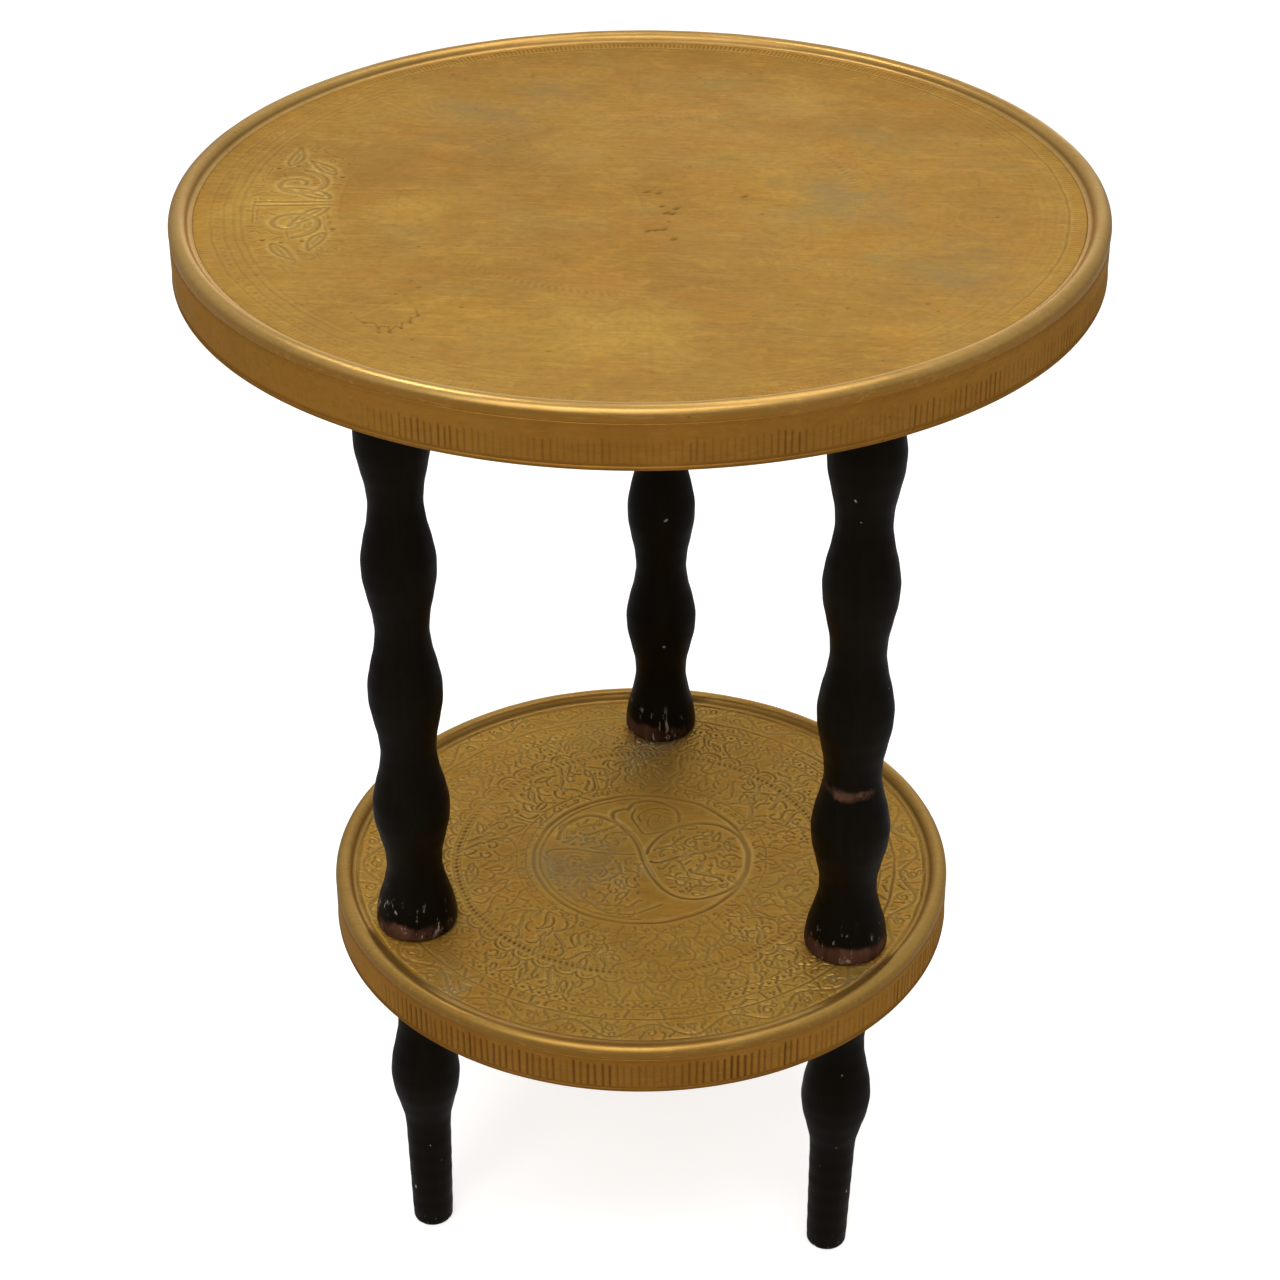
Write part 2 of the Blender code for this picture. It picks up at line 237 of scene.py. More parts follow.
class Engraving:
    """Cuts on a disc, gathered on a fine square grid and spread to each tool's width."""

    CELL = 0.25
    TOOLS = {"fine": (0.32, 0.9), "line": (0.46, 1.4), "bold": (0.68, 1.7)}

    def __init__(self, radius, seed):
        self.size = int(2 * radius / self.CELL) + 8
        self.cuts = {tool: [] for tool in self.TOOLS}
        self.random = np.random.default_rng(seed)
        self.phases = self.random.uniform(0, TAU, 6)

    def by_hand(self, points):
        """Moves points a little, as a hand does."""
        x, y, p = points[:, 0], points[:, 1], self.phases
        shift_x = np.sin(x / 6.1 + p[0]) * np.sin(y / 7.7 + p[1]) + 0.5 * np.sin(y / 2.9 + p[2])
        shift_y = np.sin(x / 7.3 + p[3]) * np.sin(y / 5.3 + p[4]) + 0.5 * np.sin(x / 3.1 + p[5])
        return points + 0.3 * np.stack([shift_x, shift_y], axis=-1)

    def cut(self, points, tool="line", depth=1.0):
        """Adds a stroke, shallower at both ends."""
        points = self.by_hand(np.asarray(points, float))
        steps = np.hypot(*np.diff(points, axis=0).T)
        run = np.concatenate([[0], np.cumsum(steps)])
        count = max(3, int(run[-1] / (self.CELL * 0.7)))
        at = np.linspace(0, run[-1], count)
        x, y = np.interp(at, run, points[:, 0]), np.interp(at, run, points[:, 1])
        ends = np.clip(np.minimum(at, run[-1] - at) / 1.0 + 0.35, 0, 1)
        weight = depth * ends * run[-1] / count / self.CELL
        self.cuts[tool].append(np.stack([x, y, weight]))

    def layer(self, tool):
        """The strokes of one tool as line weights on the square grid."""
        total = np.zeros(self.size * self.size)
        if not self.cuts[tool]:
            return total.reshape(self.size, self.size)
        x, y, weight = np.concatenate(self.cuts[tool], axis=1)
        x = np.clip(x / self.CELL + self.size / 2, 1, self.size - 3)
        y = np.clip(y / self.CELL + self.size / 2, 1, self.size - 3)
        column, row = np.floor(x).astype(int), np.floor(y).astype(int)
        for right in (0, 1):
            for up in (0, 1):
                share = np.abs(1 - right - (x - column)) * np.abs(1 - up - (y - row))
                cells = (row + up) * self.size + column + right
                total += np.bincount(cells, weight * share, self.size * self.size)
        return total.reshape(self.size, self.size)

    def cut_all(self, strokes, tool="line", depth=1.0):
        for stroke in strokes:
            self.cut(stroke, tool, depth)

    def relief(self):
        """How deep the cuts go, from 0 to 1, and how high the burrs beside them stand, on the grid."""
        frequency = np.fft.fftfreq(self.size)[:, None] ** 2 + np.fft.rfftfreq(self.size)[None, :] ** 2
        totals = [0.0, 0.0]
        for tool, (width, strength) in self.TOOLS.items():
            spectrum = np.fft.rfft2(self.layer(tool))
            for k, wider in enumerate((1.0, 2.3)):
                spread = width * wider / self.CELL
                blurred = spectrum * np.exp(-2 * (np.pi * spread) ** 2 * frequency)
                spread_out = np.fft.irfft2(blurred, (self.size, self.size))
                totals[k] = totals[k] + strength * spread_out * math.sqrt(TAU) * width / self.CELL
        return [1 - np.exp(-1.1 * np.clip(total, 0, None)) for total in totals]

    def read(self, relief, x, y):
        """The relief at points in millimetres."""
        x, y = x / self.CELL + self.size / 2, y / self.CELL + self.size / 2
        column = np.clip(np.floor(x).astype(int), 0, self.size - 2)
        row = np.clip(np.floor(y).astype(int), 0, self.size - 2)
        u, v = x - column, y - row
        low = relief[row, column] * (1 - u) + relief[row, column + 1] * u
        high = relief[row + 1, column] * (1 - u) + relief[row + 1, column + 1] * u
        return low * (1 - v) + high * v


def curl(cutter, centre, size, degrees, turns, tool="line", depth=1.0):
    """An open spiral tendril with a leaf on its back."""
    stem = spiral(centre, size, size * 0.30, degrees, turns)
    cutter.cut(stem, tool, depth)
    out = stem[len(stem) // 5]
    side = math.degrees(math.atan2(out[1] - centre[1], out[0] - centre[0]))
    cutter.cut_all(leaf(out, side + (50 if turns > 0 else -50), size * 0.9, size * 0.36)[:2], "fine", depth)


def tendril(cutter, spot, degrees, length, bend, tool="line", depth=1.0):
    """An S-shaped stem hooked at both ends, with a thinner stroke beside it."""
    share = np.linspace(-1, 1, 25)
    along = length * (0.42 * share + 0.10 * np.sin(math.pi * share))
    across = bend * length * (0.20 * np.sin(math.pi * share) + 0.22 * np.abs(share) ** 6 * np.sign(share))
    cutter.cut(turned(spot, degrees, along, across), tool, depth)
    cutter.cut(turned(spot, degrees, along, across + 0.11 * length)[5:20], "fine", depth * 0.7)


def comma(cutter, spot, degrees, size, tool="line", depth=1.0):
    """A hooked stroke."""
    share = np.linspace(0, 1, 12)
    along, across = size * (share - 0.5), size * 0.34 * np.sin(np.pi * share) ** 0.8
    cutter.cut(turned(spot, degrees, along, across), tool, depth)


def dab(cutter, spot, size, tool="line", depth=1.0):
    """A dot, as one blow of a round punch leaves."""
    cutter.cut(np.asarray(spot) + polar(np.full(6, size), np.linspace(0, 360, 6)), tool, depth)


def chisel(cutter, start, end, tool, depth):
    """A short straight cut, uneven in depth."""
    cutter.cut(np.stack([start, (start + end) / 2, end]), tool, depth * cutter.random.uniform(0.5, 1.2))


def ribbon(cutter, points, tool="line", depth=1.0):
    """A smooth curve through a few points."""
    points = np.asarray(points, float)
    ends = np.vstack([2 * points[0] - points[1], points, 2 * points[-1] - points[-2]])
    share = np.linspace(0, 1, 14, endpoint=False)[:, None]
    pieces = []
    for a, b, c, d in zip(ends[:-3], ends[1:-2], ends[2:-1], ends[3:]):
        cubic = (-a + 3 * b - 3 * c + d) * share**3 + (2 * a - 5 * b + 4 * c - d) * share**2
        pieces.append((cubic + (c - a) * share + 2 * b) / 2)
    cutter.cut(np.vstack([*pieces, points[-1:]]), tool, depth)


def fill(cutter, inner, outer, spacing, size, depth=1.0, radial=0.0, keep=None):
    """Small motifs packed between two circles, a radial share of them pointing outward."""
    random = cutter.random
    rows = max(1, round((outer - inner) / spacing))
    for row in range(rows):
        radius = inner + (row + 0.5) * (outer - inner) / rows
        count = max(3, round(TAU * radius / spacing))
        for k in range(count):
            at = 360 * (k + 0.5 * (row % 2) + random.uniform(-0.22, 0.22)) / count
            spot = polar(radius + random.uniform(-0.12, 0.12) * spacing, at)
            choice, turn = random.uniform(), random.uniform(0, 360)
            if keep is not None and not keep(*spot):
                continue
            if random.uniform() < radial:
                turn = at + random.normal(0, 14)
            scale = size * random.uniform(0.75, 1.15)
            power = depth * random.uniform(0.65, 1.15)
            if choice < 0.36:
                tendril(cutter, spot, turn, scale * 1.35, random.choice((-1, 1)), "line", power)
            elif choice < 0.50:
                curl(cutter, spot, scale * 0.42, turn, random.choice((-0.9, 0.9)), "line", power)
            elif choice < 0.66:
                cutter.cut_all(leaf(spot, turn, scale, scale * 0.42)[:2], "line", power)
            elif choice < 0.94:
                comma(cutter, spot, turn, scale, "line", power)
            else:
                for step in (0, 120, 240):
                    dab(cutter, spot + polar(scale * 0.22, turn + step), scale * 0.07, "line", power)


def vine_ring(cutter, inner, outer, waves, start):
    """A stem that waves between two circles, with a curl in each half wave and leaves outside it."""
    middle, swing = (inner + outer) / 2, (outer - inner) / 2
    degrees = np.linspace(0, 360, 900)
    stem = middle + 0.78 * swing * np.sin(np.radians(degrees * waves))
    cutter.cut(polar(stem, degrees + start))
    cutter.cut(polar(stem + 1.3, degrees + start), "fine", 0.6)
    for k in range(2 * waves):
        at = start + 360 * (k + 0.5) / (2 * waves)
        side = 1 if k % 2 == 0 else -1
        size = swing * cutter.random.uniform(0.46, 0.6)
        centre = polar(middle - side * 0.25 * swing, at)
        curl(cutter, centre, size, at + 90 * side, side * cutter.random.uniform(1.2, 1.7))
        tip = polar(middle + side * 0.9 * swing, at + 3.0)
        cutter.cut_all(leaf(tip, at + 90 + 60 * side, swing * 0.6, swing * 0.22), "fine")


def rope_ring(cutter, radius, count, depth, width=1.1):
    """A ring of short slanting cuts between two thin lines."""
    for k in range(count):
        at = 360 * k / count
        low = polar(radius - width, at)
        high = polar(radius + width, at + 0.45 * 360 / count)
        chisel(cutter, low, high, "bold", depth)
    cutter.cut(ring(radius - width - 1), "fine", depth * 0.5)
    cutter.cut(ring(radius + width + 1), "fine", depth * 0.5)


def scallops(cutter, radius, height, count, depth):
    """Arcs side by side on a circle, each with a small one inside."""
    half = math.pi * radius / count
    for k in range(count):
        at = 360 * (k + 0.5) / count
        share = np.linspace(-1, 1, 15)
        for size, tool in ((1.0, "line"), (0.5, "fine")):
            rise = height * size * np.sqrt(np.clip(1 - share**2, 0, 1))
            cutter.cut(polar(radius + rise, at + np.degrees(share * half * size / radius)), tool, depth)


def crosses(cutter, radius, size, count, depth):
    """A ring of slanting crosses with a dot between each two."""
    reach = math.degrees(size / radius)
    for k in range(count):
        at = 360 * k / count
        for side in (1, -1):
            share = np.linspace(-1, 1, 5)
            cutter.cut(polar(radius + share * size, at + side * share * reach), "line", depth)
        dab(cutter, polar(radius, at + 180 / count), 0.5, "line", depth)


def ticks(cutter, inner, outer, count):
    """Radial cuts, uneven in length."""
    for k in range(count):
        at = 360 * k / count
        low = inner + cutter.random.uniform(0, 0.15) * (outer - inner)
        high = outer - cutter.random.uniform(0, 0.3) * (outer - inner)
        tick = polar(np.linspace(low, high, 4), np.full(4, at))
        cutter.cut(tick, "fine", cutter.random.uniform(0.4, 1.3))


def scroll_spray(cutter, radius, at):
    """Two big scrolls turned away from each other, with long leaves between them and outside them."""
    leaves = ((-18, 2, 40, 27.0, 8.0), (11, 15, 112, 22.0, 6.5), (-14, 13, 64, 21.0, 6.5))
    for side in (1, -1):
        centre = polar(radius + 0.5, at + 8.0 * side)
        stem = spiral(centre, 17.0, 3.5, at + 95 * side, 1.3 * side)
        cutter.cut(stem, "bold", 1.3)
        cutter.cut(centre + (stem - centre) * 0.87, "line", 0.9)
        for out, off, lean, long, wide in leaves:
            foot = polar(radius + out, at + off * side)
            cutter.cut_all(leaf(foot, at + lean * side, long, wide), "bold")
        barb = polar(np.array([radius - 19, radius, radius + 18]), np.full(3, at + 0.7 * side))
        cutter.cut(barb, "bold")
        for k in range(5):
            dab(cutter, centre + polar(22, at + (60 + 25 * k) * side), 0.5, "bold", 0.9)


def ground(cutter, inner, outer, count, depth, lean=0.25):
    """Short chisel marks, mostly radial, between the motifs."""
    radius = np.sqrt(cutter.random.uniform(inner**2, outer**2, count))
    degrees = cutter.random.uniform(0, 360, count)
    turns = cutter.random.normal(0, lean, count) + np.radians(degrees)
    sizes = cutter.random.uniform(0.9, 2.6, count)
    for r, at, turn, long in zip(radius, degrees, turns, sizes):
        start = polar(r, at)
        end = start + long * np.array([math.cos(turn), math.sin(turn)])
        chisel(cutter, start, end, "fine", depth)


def bud_and_stems(cutter, u, depth):
    """The medallion's trefoil bud at its top, and the stems in its lobes. u is the scale."""
    ribbons = [
        ("bold", 1.0, [(-15, 29), (-18, 35), (-18, 41), (-11, 45)]),
        ("bold", 1.0, [(-11, 43), (-8.5, 49.5), (0, 53.5), (9, 51), (16.5, 43.5), (18, 34)]),
        ("line", 1.0, [(-7, 45), (-8, 37), (-4, 28), (0, 22), (6.5, 23.5), (13, 27)]),
        ("line", 1.0, [(-3, 33), (-4.5, 39), (0, 44.5), (6, 46.5), (12, 45)]),
        ("line", 0.9, [(1, 29), (0.5, 35), (3, 40), (7, 39.5), (6, 36)]),
    ]
    ribbons += [("fine", 1.0, [(x, 31.0), (x + 0.8, 34.5), (x - 0.3, 39.0)]) for x in (9.5, 11.0, 12.5)]
    ribbons += [
        ("line", 1.0, [(-50, -4), (-51, 0), (-47, 3), (-38, 4), (-26, 2.5), (-14, 2), (-3, 3)]),
        ("bold", 0.9, [(-22, -24), (-14, -20), (-9, -14)]),
        ("line", 1.0, [(-26, -40), (-14, -50), (0, -50), (8, -45), (15, -40)]),
    ]
    for tool, power, points in ribbons:
        ribbon(cutter, np.array(points) * u, tool, depth * power)
    for spot, turn, long, bend in (((16, 0), -8, 25, 1), ((33, 8), 60, 24, -1), ((36, -13), -50, 22, 1)):
        tendril(cutter, np.array(spot) * u, turn, long * u, bend, "bold", depth)
    for spot, size, turn in (((26, 15), 4.5, 90), ((45, -2), 4.5, 200), ((24, -20), 5.0, 20)):
        curl(cutter, np.array(spot) * u, size * u, turn, 1.2, "line", depth)


def medallion(cutter, radius, depth):
    """A circle with a looped ribbon, two lobes full of small scrolls and a trefoil bud at the top."""
    cutter.cut(ring(radius), "bold", depth * 0.8)
    cutter.cut(ring(radius - 3.4, 95, 275), "line", depth * 0.7)
    cutter.cut(ring(radius + 4.5, 130, 250), "fine", depth * 0.8)
    cutter.cut(ring(radius + 9.5), "fine", depth * 0.7)
    u = radius / 58
    left = [(-47, 12), (-44, 26), (-35, 34.5), (-26, 35.5), (-16, 30), (-7, 19), (-1, 6), (2, -6), (8, -18)]
    under = [(15, -28), (25, -34), (37, -32.5), (49, -25), (56, -12), (57.5, 4), (53.5, 20)]
    back = [(47, 28), (37, 34), (25.5, 33), (15, 28), (8, 19), (4, 10), (3, 3)]
    winding = np.array([*left, *under, *back]) * u
    ribbon(cutter, winding, "bold", depth * 1.1)
    ribbon(cutter, winding[1:9] + (1.7, 0.8), "fine", depth)
    bud_and_stems(cutter, u, depth)
    for k in range(16):
        foot = np.array([-47 + 1.5 * k, 13 + 0.9 * k]) * u
        rise = np.array([0.6, 7.0 + 2.5 * math.sin(k)]) * u
        chisel(cutter, foot, foot + rise, "fine", depth)

    def inside(x, y):
        in_right = ((x / u - 31) / 23) ** 2 + (y / u / 30) ** 2 < 1
        in_left = ((x / u + 27) / 19) ** 2 + ((y / u - 18) / 14) ** 2 < 1
        below = y / u < -3 and x / u < 3 and math.hypot(x, y) < radius - 6 * u
        return in_right or in_left or below

    fill(cutter, 3 * u, radius - 4 * u, 8.4 * u, 9.0 * u, depth, keep=inside)
    fill(cutter, 3 * u, radius - 4 * u, 6.0 * u, 4.0 * u, depth * 0.7, keep=inside)


def shelf_engraving(radius):
    """The lower sheet: medallion, scroll bands, rope ring, scallops, crosses and a scrolled border."""
    cutter = Engraving(radius, 11)
    medallion(cutter, 58.0, 1.0)
    fill(cutter, 60.0, 68.0, 6.6, 6.0, 0.7, radial=0.8)
    fill(cutter, 69.0, 96.0, 8.6, 10.0, 1.0, radial=0.55)
    fill(cutter, 69.0, 96.0, 13.0, 15.0, 0.9, radial=0.7)
    ground(cutter, 60.0, 97.0, 2200, 0.6)
    rope_ring(cutter, 99.5, 190, 1.2)
    scallops(cutter, 103.0, 4.6, 52, 1.0)
    fill(cutter, 108.0, 121.5, 7.4, 9.0, 0.95, radial=0.85)
    ground(cutter, 103.0, 122.0, 2600, 0.8, lean=0.12)
    crosses(cutter, 125.5, 2.2, 84, 1.0)
    cutter.cut(ring(122.0), "fine", 0.9)
    cutter.cut(ring(129.0), "fine", 0.9)
    fill(cutter, 129.5, 136.0, 5.8, 6.0, 0.9, radial=0.2)
    cutter.cut(ring(136.5), "line", 0.9)
    vine_ring(cutter, 138.5, 151.5, 22, start=3)
    fill(cutter, 138.0, 152.0, 7.4, 5.8, 0.7, radial=0.5)
    ground(cutter, 130.0, 153.0, 2200, 0.6)
    cutter.cut(ring(152.6), "line", 0.8)
    return cutter


def top_engraving(radius):
    """The top sheet: the same ornament, larger and rubbed nearly flat by use."""
    cutter = Engraving(radius, 23)
    medallion(cutter, 66.0, 0.7)
    fill(cutter, 70.0, 99.0, 10.0, 12.0, 0.8, radial=0.5)
    rope_ring(cutter, 104.0, 190, 1.0, width=1.5)
    scallops(cutter, 108.0, 6.0, 44, 0.7)
    fill(cutter, 115.0, 139.0, 10.0, 12.0, 0.8, radial=0.6)
    cutter.cut(ring(140.5), "line", 0.7)
    for k in range(8):
        scroll_spray(cutter, 163.5, 45 * k + 6)
    for _ in range(60):
        at = cutter.random.uniform(0, 360)
        stretch = ring(cutter.random.uniform(143, 184), at, at + cutter.random.uniform(3, 9))
        cutter.cut(stretch, "fine", 0.7)
    fill(cutter, 143.0, 184.0, 9.0, 6.0, 0.35, radial=0.5)
    for radius_here in (186.5, 190.0, 194.5, 200.5):
        cutter.cut(ring(radius_here), "line", 0.8)
    crosses(cutter, 197.5, 1.8, 130, 0.6)
    ticks(cutter, 201.5, 208.5, 560)
    ground(cutter, 70.0, 200.0, 3600, 0.5)
    return cutter


def bruises(cutter):
    """What use has left on the top: a jagged crease at the front left, and pits here and there."""
    crease = [(-112, -137), (-107, -141), (-103, -141), (-100, -144.5), (-96, -144), (-94.5, -148)]
    crease += [(-92.5, -143.5), (-90, -145), (-90.5, -139.5), (-87, -139), (-87.5, -134.5), (-84.5, -132.5)]
    cutter.cut(np.array([*crease, (-86.5, -126)]), "fine", 0.75)
    nicks = [(-107, -141), (-100, -146), (-94.6, -149.5), (-90, -145), (-87, -139), (-84.5, -132)]
    nicks += [(-99, -150)]
    pits = [(2.5, 10), (8, 9), (11, -6), (14, -13.5), (17, -14), (18, -8), (7, -35), (10.5, -33.5)]
    pits += [(14, -32.5), (19.5, -42.5), (48.5, 8.5)]
    blows = [(-67, -122), (-24, -162), (-89, -104)]
    marks = [(nicks, [(-0.6, 0.9), (0, 0), (0.7, -0.7)], "line", 1.2)]
    marks += [(pits, [(-1.2, -1.1), (0, 0), (0.9, 1.5)], "bold", 1.0)]
    marks += [(blows, [(-0.6, 0.4), (0, 0), (0.5, -0.1)], "bold", 1.3)]
    for places, shape, tool, depth in marks:
        for place in places:
            cutter.cut(np.array(place) + np.array(shape), tool, depth)
    for _ in range(26):
        spot = polar(206 * math.sqrt(cutter.random.uniform()), cutter.random.uniform(0, 360))
        dab(cutter, spot, 0.3, "line", cutter.random.uniform(0.3, 0.8))


def disc_points(radius, cells):
    """A square grid of points spread evenly over a disc."""
    side = np.linspace(-1, 1, cells + 1)
    a, b = np.meshgrid(side, side)
    wide = np.abs(a) > np.abs(b)
    safe_a, safe_b = np.where(a == 0, 1, a), np.where(b == 0, 1, b)
    reach = np.where(wide, a, b)
    turn = np.where(wide, math.pi / 4 * b / safe_a, math.pi / 2 - math.pi / 4 * a / safe_b)
    return radius * reach * np.cos(turn), radius * reach * np.sin(turn)


def blotches(x, y, spots):
    """Soft-edged stains, each (x, y, radius, strength), with a ragged outline."""
    total = np.zeros_like(x)
    ragged = 1 + 0.22 * np.sin(x / 9 + 1) * np.sin(y / 7) + 0.15 * np.sin(x / 3.7) * np.sin(y / 4.3 + 2)
    for at_x, at_y, size, strength in spots:
        distance = np.hypot(x - at_x, y - at_y) / size * ragged
        total = total + strength * smooth(1.0, 0.25, distance)
    return total


def sheet_relief(looks, radius, x, y):
    """How deep the cuts and bruises go at points of a sheet, and how high the burrs stand."""
    left = looks["wear"](x, y)
    cutter = looks["cutter"]
    cuts, burrs = cutter.relief()
    relief = cutter.read(cuts, x, y) * left
    if "bruises" in looks:
        marks = Engraving(radius, BRUISE_SEED)
        looks["bruises"](marks)
        relief = np.maximum(relief, marks.read(marks.relief()[0], x, y))
    return relief, cutter.read(burrs, x, y) * left


def sheet_faces(size, rings):
    """The border of a square grid of points, and faces over it, down rings of points and over the last."""
    index = np.arange(size * size).reshape(size, size)
    border = np.concatenate([index[0, :-1], index[:-1, -1], index[-1, :0:-1], index[:0:-1, 0]])
    faces = [grid_faces(size, size, wrap_columns=False)[:, ::-1]]
    upper = border
    for k in range(rings):
        lower = np.arange(len(border)) + size * size + k * len(border)
        faces.append(np.stack([upper, lower, np.roll(lower, -1), np.roll(upper, -1)], axis=-1))
        upper = lower
    return border, [*faces, upper[::-1][None, :]]


def engraved_sheet(name, looks, radius, floor, depth):
    """A thin disc with an engraved upper face. looks has the cuts, wear and stains."""
    inner = radius - BEAD_RADIUS - FILLET_REACH - 0.05
    hidden = radius - 3.6
    x, y = disc_points(inner, SHEET_CELLS)
    relief, burr = sheet_relief(looks, radius, x, y)
    edge = np.hypot(x, y) / inner
    dents = uneven(np.arctan2(y, x), 5) * edge * (1 - edge) * 4 + 0.5 * np.sin(x / 31 + 1) * np.sin(y / 27)
    height = floor - np.minimum(depth * relief, DEEPEST_CUT) + 0.5 * depth * burr
    height += 0.10 * dents * (1 - edge**8)
    top = np.stack([x, y, height], axis=-1).reshape(-1, 3)
    steps = ((inner, floor - 0.5), (hidden, floor - 0.5), (hidden, floor - SHEET))
    border, faces = sheet_faces(SHEET_CELLS + 1, len(steps))
    around = top[border, :2] / inner
    rings = [np.column_stack([around * r, np.full(len(border), z)]) for r, z in steps]
    seam = 0.2 * smooth(inner - 1.6, inner - 0.2, np.hypot(x, y))
    rest = np.zeros(len(rings) * len(border))
    # The burrs beside the cuts, which the brass paints brighter: partly rubbed metal, partly a painted
    # highlight.
    attributes = {"burr": np.clip(1.6 * burr - 0.9 * relief, 0, 1)}
    attributes |= {key: blotches(x, y, looks[key]) for key in ("bloom", "warm")}
    attributes = {key: np.append(values, rest) for key, values in attributes.items()}
    attributes["dirt_and_shade"] = np.append(np.maximum(relief, seam), rest + 1)
    return new_object(name, np.vstack([top, *rings]), faces, attributes)


# ---------------------------------------------------------------- brass edges


def rolled_rim(name, radius, rim, seed):
    """The rim hoop: a fillet rising from the sheet, a rolled bead and, behind the band, a skirt."""
    centre = (radius - BEAD_RADIUS, rim - BEAD_RADIUS)
    floor = centre[1] + BEAD_DROP
    skirt = radius - SKIRT_INSET
    meeting = math.degrees(math.atan2(FILLET + BEAD_DROP, FILLET_REACH))
    fillet = arc((centre[0] - FILLET_REACH, floor + FILLET), FILLET, -90, -meeting, 8)
    bead = arc(centre, BEAD_RADIUS, 180 - meeting, 0, 24)[1:]
    cove = line(bead[-1], (radius - BAND_INSET - 0.2, rim - 7.2), 5)
    outer = np.vstack([fillet, bead, cove, line((skirt, rim - 7.9), (skirt, rim - SKIRT_DEPTH), 4)])
    section = sheet_section(outer, SHEET)
    under = section[:, 0] < centre[0]
    section[under, 1] = np.maximum(section[under, 1], floor - 0.45)
    turn = angles(RIM_STEPS)[None, :]
    on_bead = smooth(rim - BEAD_RADIUS - 2, rim - 1, section[:, 1])[:, None]
    swing = 0.16 * uneven(turn, seed) + 0.07 * uneven(turn, seed + 1, (21, 34, 55, 70))
    radii = section[:, 0][:, None] + 0.5 * swing * on_bead
    heights = section[:, 1][:, None] + 0.8 * swing * on_bead
    # Painted shade: a dark line along the foot of the bead's inner side, stronger at the back of the table.
    crease = bell(section[:, 0] - radius + 8.7, 0.5)[:, None]
    behind = 0.3 + 0.7 * smooth(-0.4, 0.5, np.sin(turn))
    dirt_and_shade = np.clip(0.9 * crease * behind, 0, 1) * (0.85 + 0.15 * uneven(turn, seed + 2, (5, 12, 26, 49)))
    # The bead's lower outer side is mixed towards the band's darker brown and the crest stays brighter:
    # partly the brass's own tone, partly painted shade on that side and a painted highlight on the crest.
    outside = smooth(centre[0], centre[0] + 2.5, section[:, 0])
    outside *= smooth(rim - 1.2, rim - 5.0, section[:, 1])
    patina = outside[:, None] * (1 + 0.12 * uneven(turn, seed + 3, (4, 9, 17, 33)))
    return hoop(name, radii, heights, {"dirt_and_shade": dirt_and_shade, "patina": np.clip(patina, 0, 1)})


def rib_cuts(steps, rows, radius, ribs):
    """Chiselled upright cuts in worn groups, from 0 to 1, per row from the top and per column."""
    random = np.random.default_rng(ribs["seed"])
    turn = angles(steps)
    share = np.linspace(0, 1, rows)[:, None]
    cuts = np.zeros((rows, steps))
    count = int(TAU * radius / ribs["pitch"])
    spots = (np.arange(count) + random.uniform(-0.15, 0.15, count)) * TAU / count
    groups = uneven(spots, ribs["seed"] + 1, (3, 7, 11, 17, 29))
    groups += 0.6 * uneven(spots, ribs["seed"] + 2, (41, 67))
    strength = (0.35 + 0.65 * smooth(-0.5, 0.35, groups)) * random.uniform(0.6, 1.0, count)
    degrees = np.degrees(spots)
    for low, high, power in ribs["stretches"]:
        inside = smooth(low - 4, low + 4, degrees) * smooth(high + 4, high - 4, degrees)
        strength = strength * (1 - inside) + power * inside * (0.4 + 0.6 * strength)
    starts = random.uniform(*ribs["starts"], count)
    leans = random.normal(0, 0.15, count)
    window = int(math.ceil(1.7 / radius / TAU * steps))
    for spot, power, start, lean in zip(spots, strength, starts, leans):
        near = (int(round(spot / TAU * steps)) + np.arange(-window, window + 1)) % steps
        off = (np.mod(turn[near] - spot + math.pi, TAU) - math.pi) * radius
        across = bell(off[None, :] - lean * (share - 0.5), ribs["width"])
        down = smooth(start, start + 0.1, share) * (1 - 0.7 * smooth(0.94, 1.0, share))
        cuts[:, near] = np.maximum(cuts[:, near], power * across * down)
    return cuts


def ribbed_band(name, radius, rim, underside, ribs):
    """The edge band: a narrow lip, a wall with chiselled ribs, a turned hem and a flange."""
    wall = radius - BAND_INSET
    top = rim - 7.3
    lip = arc((wall - 0.45, top - 0.45), 0.45, 90, 6, 5)
    upright = line(lip[-1], (wall - 0.05, underside + 2 * HEM + 0.2), BAND_ROWS)
    curl_in = arc((wall - HEM + 0.28, underside + HEM), HEM, 62, -90, 9)
    flange = line(curl_in[-1], (wall - FLANGE_WIDTH, underside), 5)
    outer = np.vstack([lip, upright, curl_in, flange])
    section = sheet_section(outer, SHEET * 0.8)
    steps = int(TAU * radius / BAND_STEP)
    turn = angles(steps)[None, :]
    cuts = np.zeros((len(section), steps))
    first, last = len(lip), len(lip) + BAND_ROWS
    cuts[first:last] = rib_cuts(steps, BAND_ROWS, radius, ribs)
    seed = ribs["seed"]
    swing = 0.10 * uneven(turn, seed + 5) + 0.05 * uneven(turn, seed + 6, (23, 37, 58, 83))
    raised = 0.25 * ribs["depth"] * (cuts > 0) * (0.4 - cuts)
    radii = section[:, 0][:, None] - ribs["depth"] * cuts + raised + swing
    heights = section[:, 1][:, None] + 0.4 * swing
    # Painted shade: the lip, the foot of the wall and the hem are darkened, the hem more on the shelf; the
    # rib cuts hold grime.
    crease = np.zeros(len(section))
    crease[:first] = 0.25
    crease[first : first + 2] = 0.15
    crease[last - 2 : last + 1] = 0.45
    crease[last + 1 : last + 10] = ribs["hem_shade"]
    dirt_and_shade = np.maximum(cuts, crease[:, None] * (0.75 + 0.25 * uneven(turn, seed + 8, (9, 14, 31, 47))))
    return hoop(name, radii, heights, {"dirt_and_shade": dirt_and_shade})


# ---------------------------------------------------------------- legs and tacks


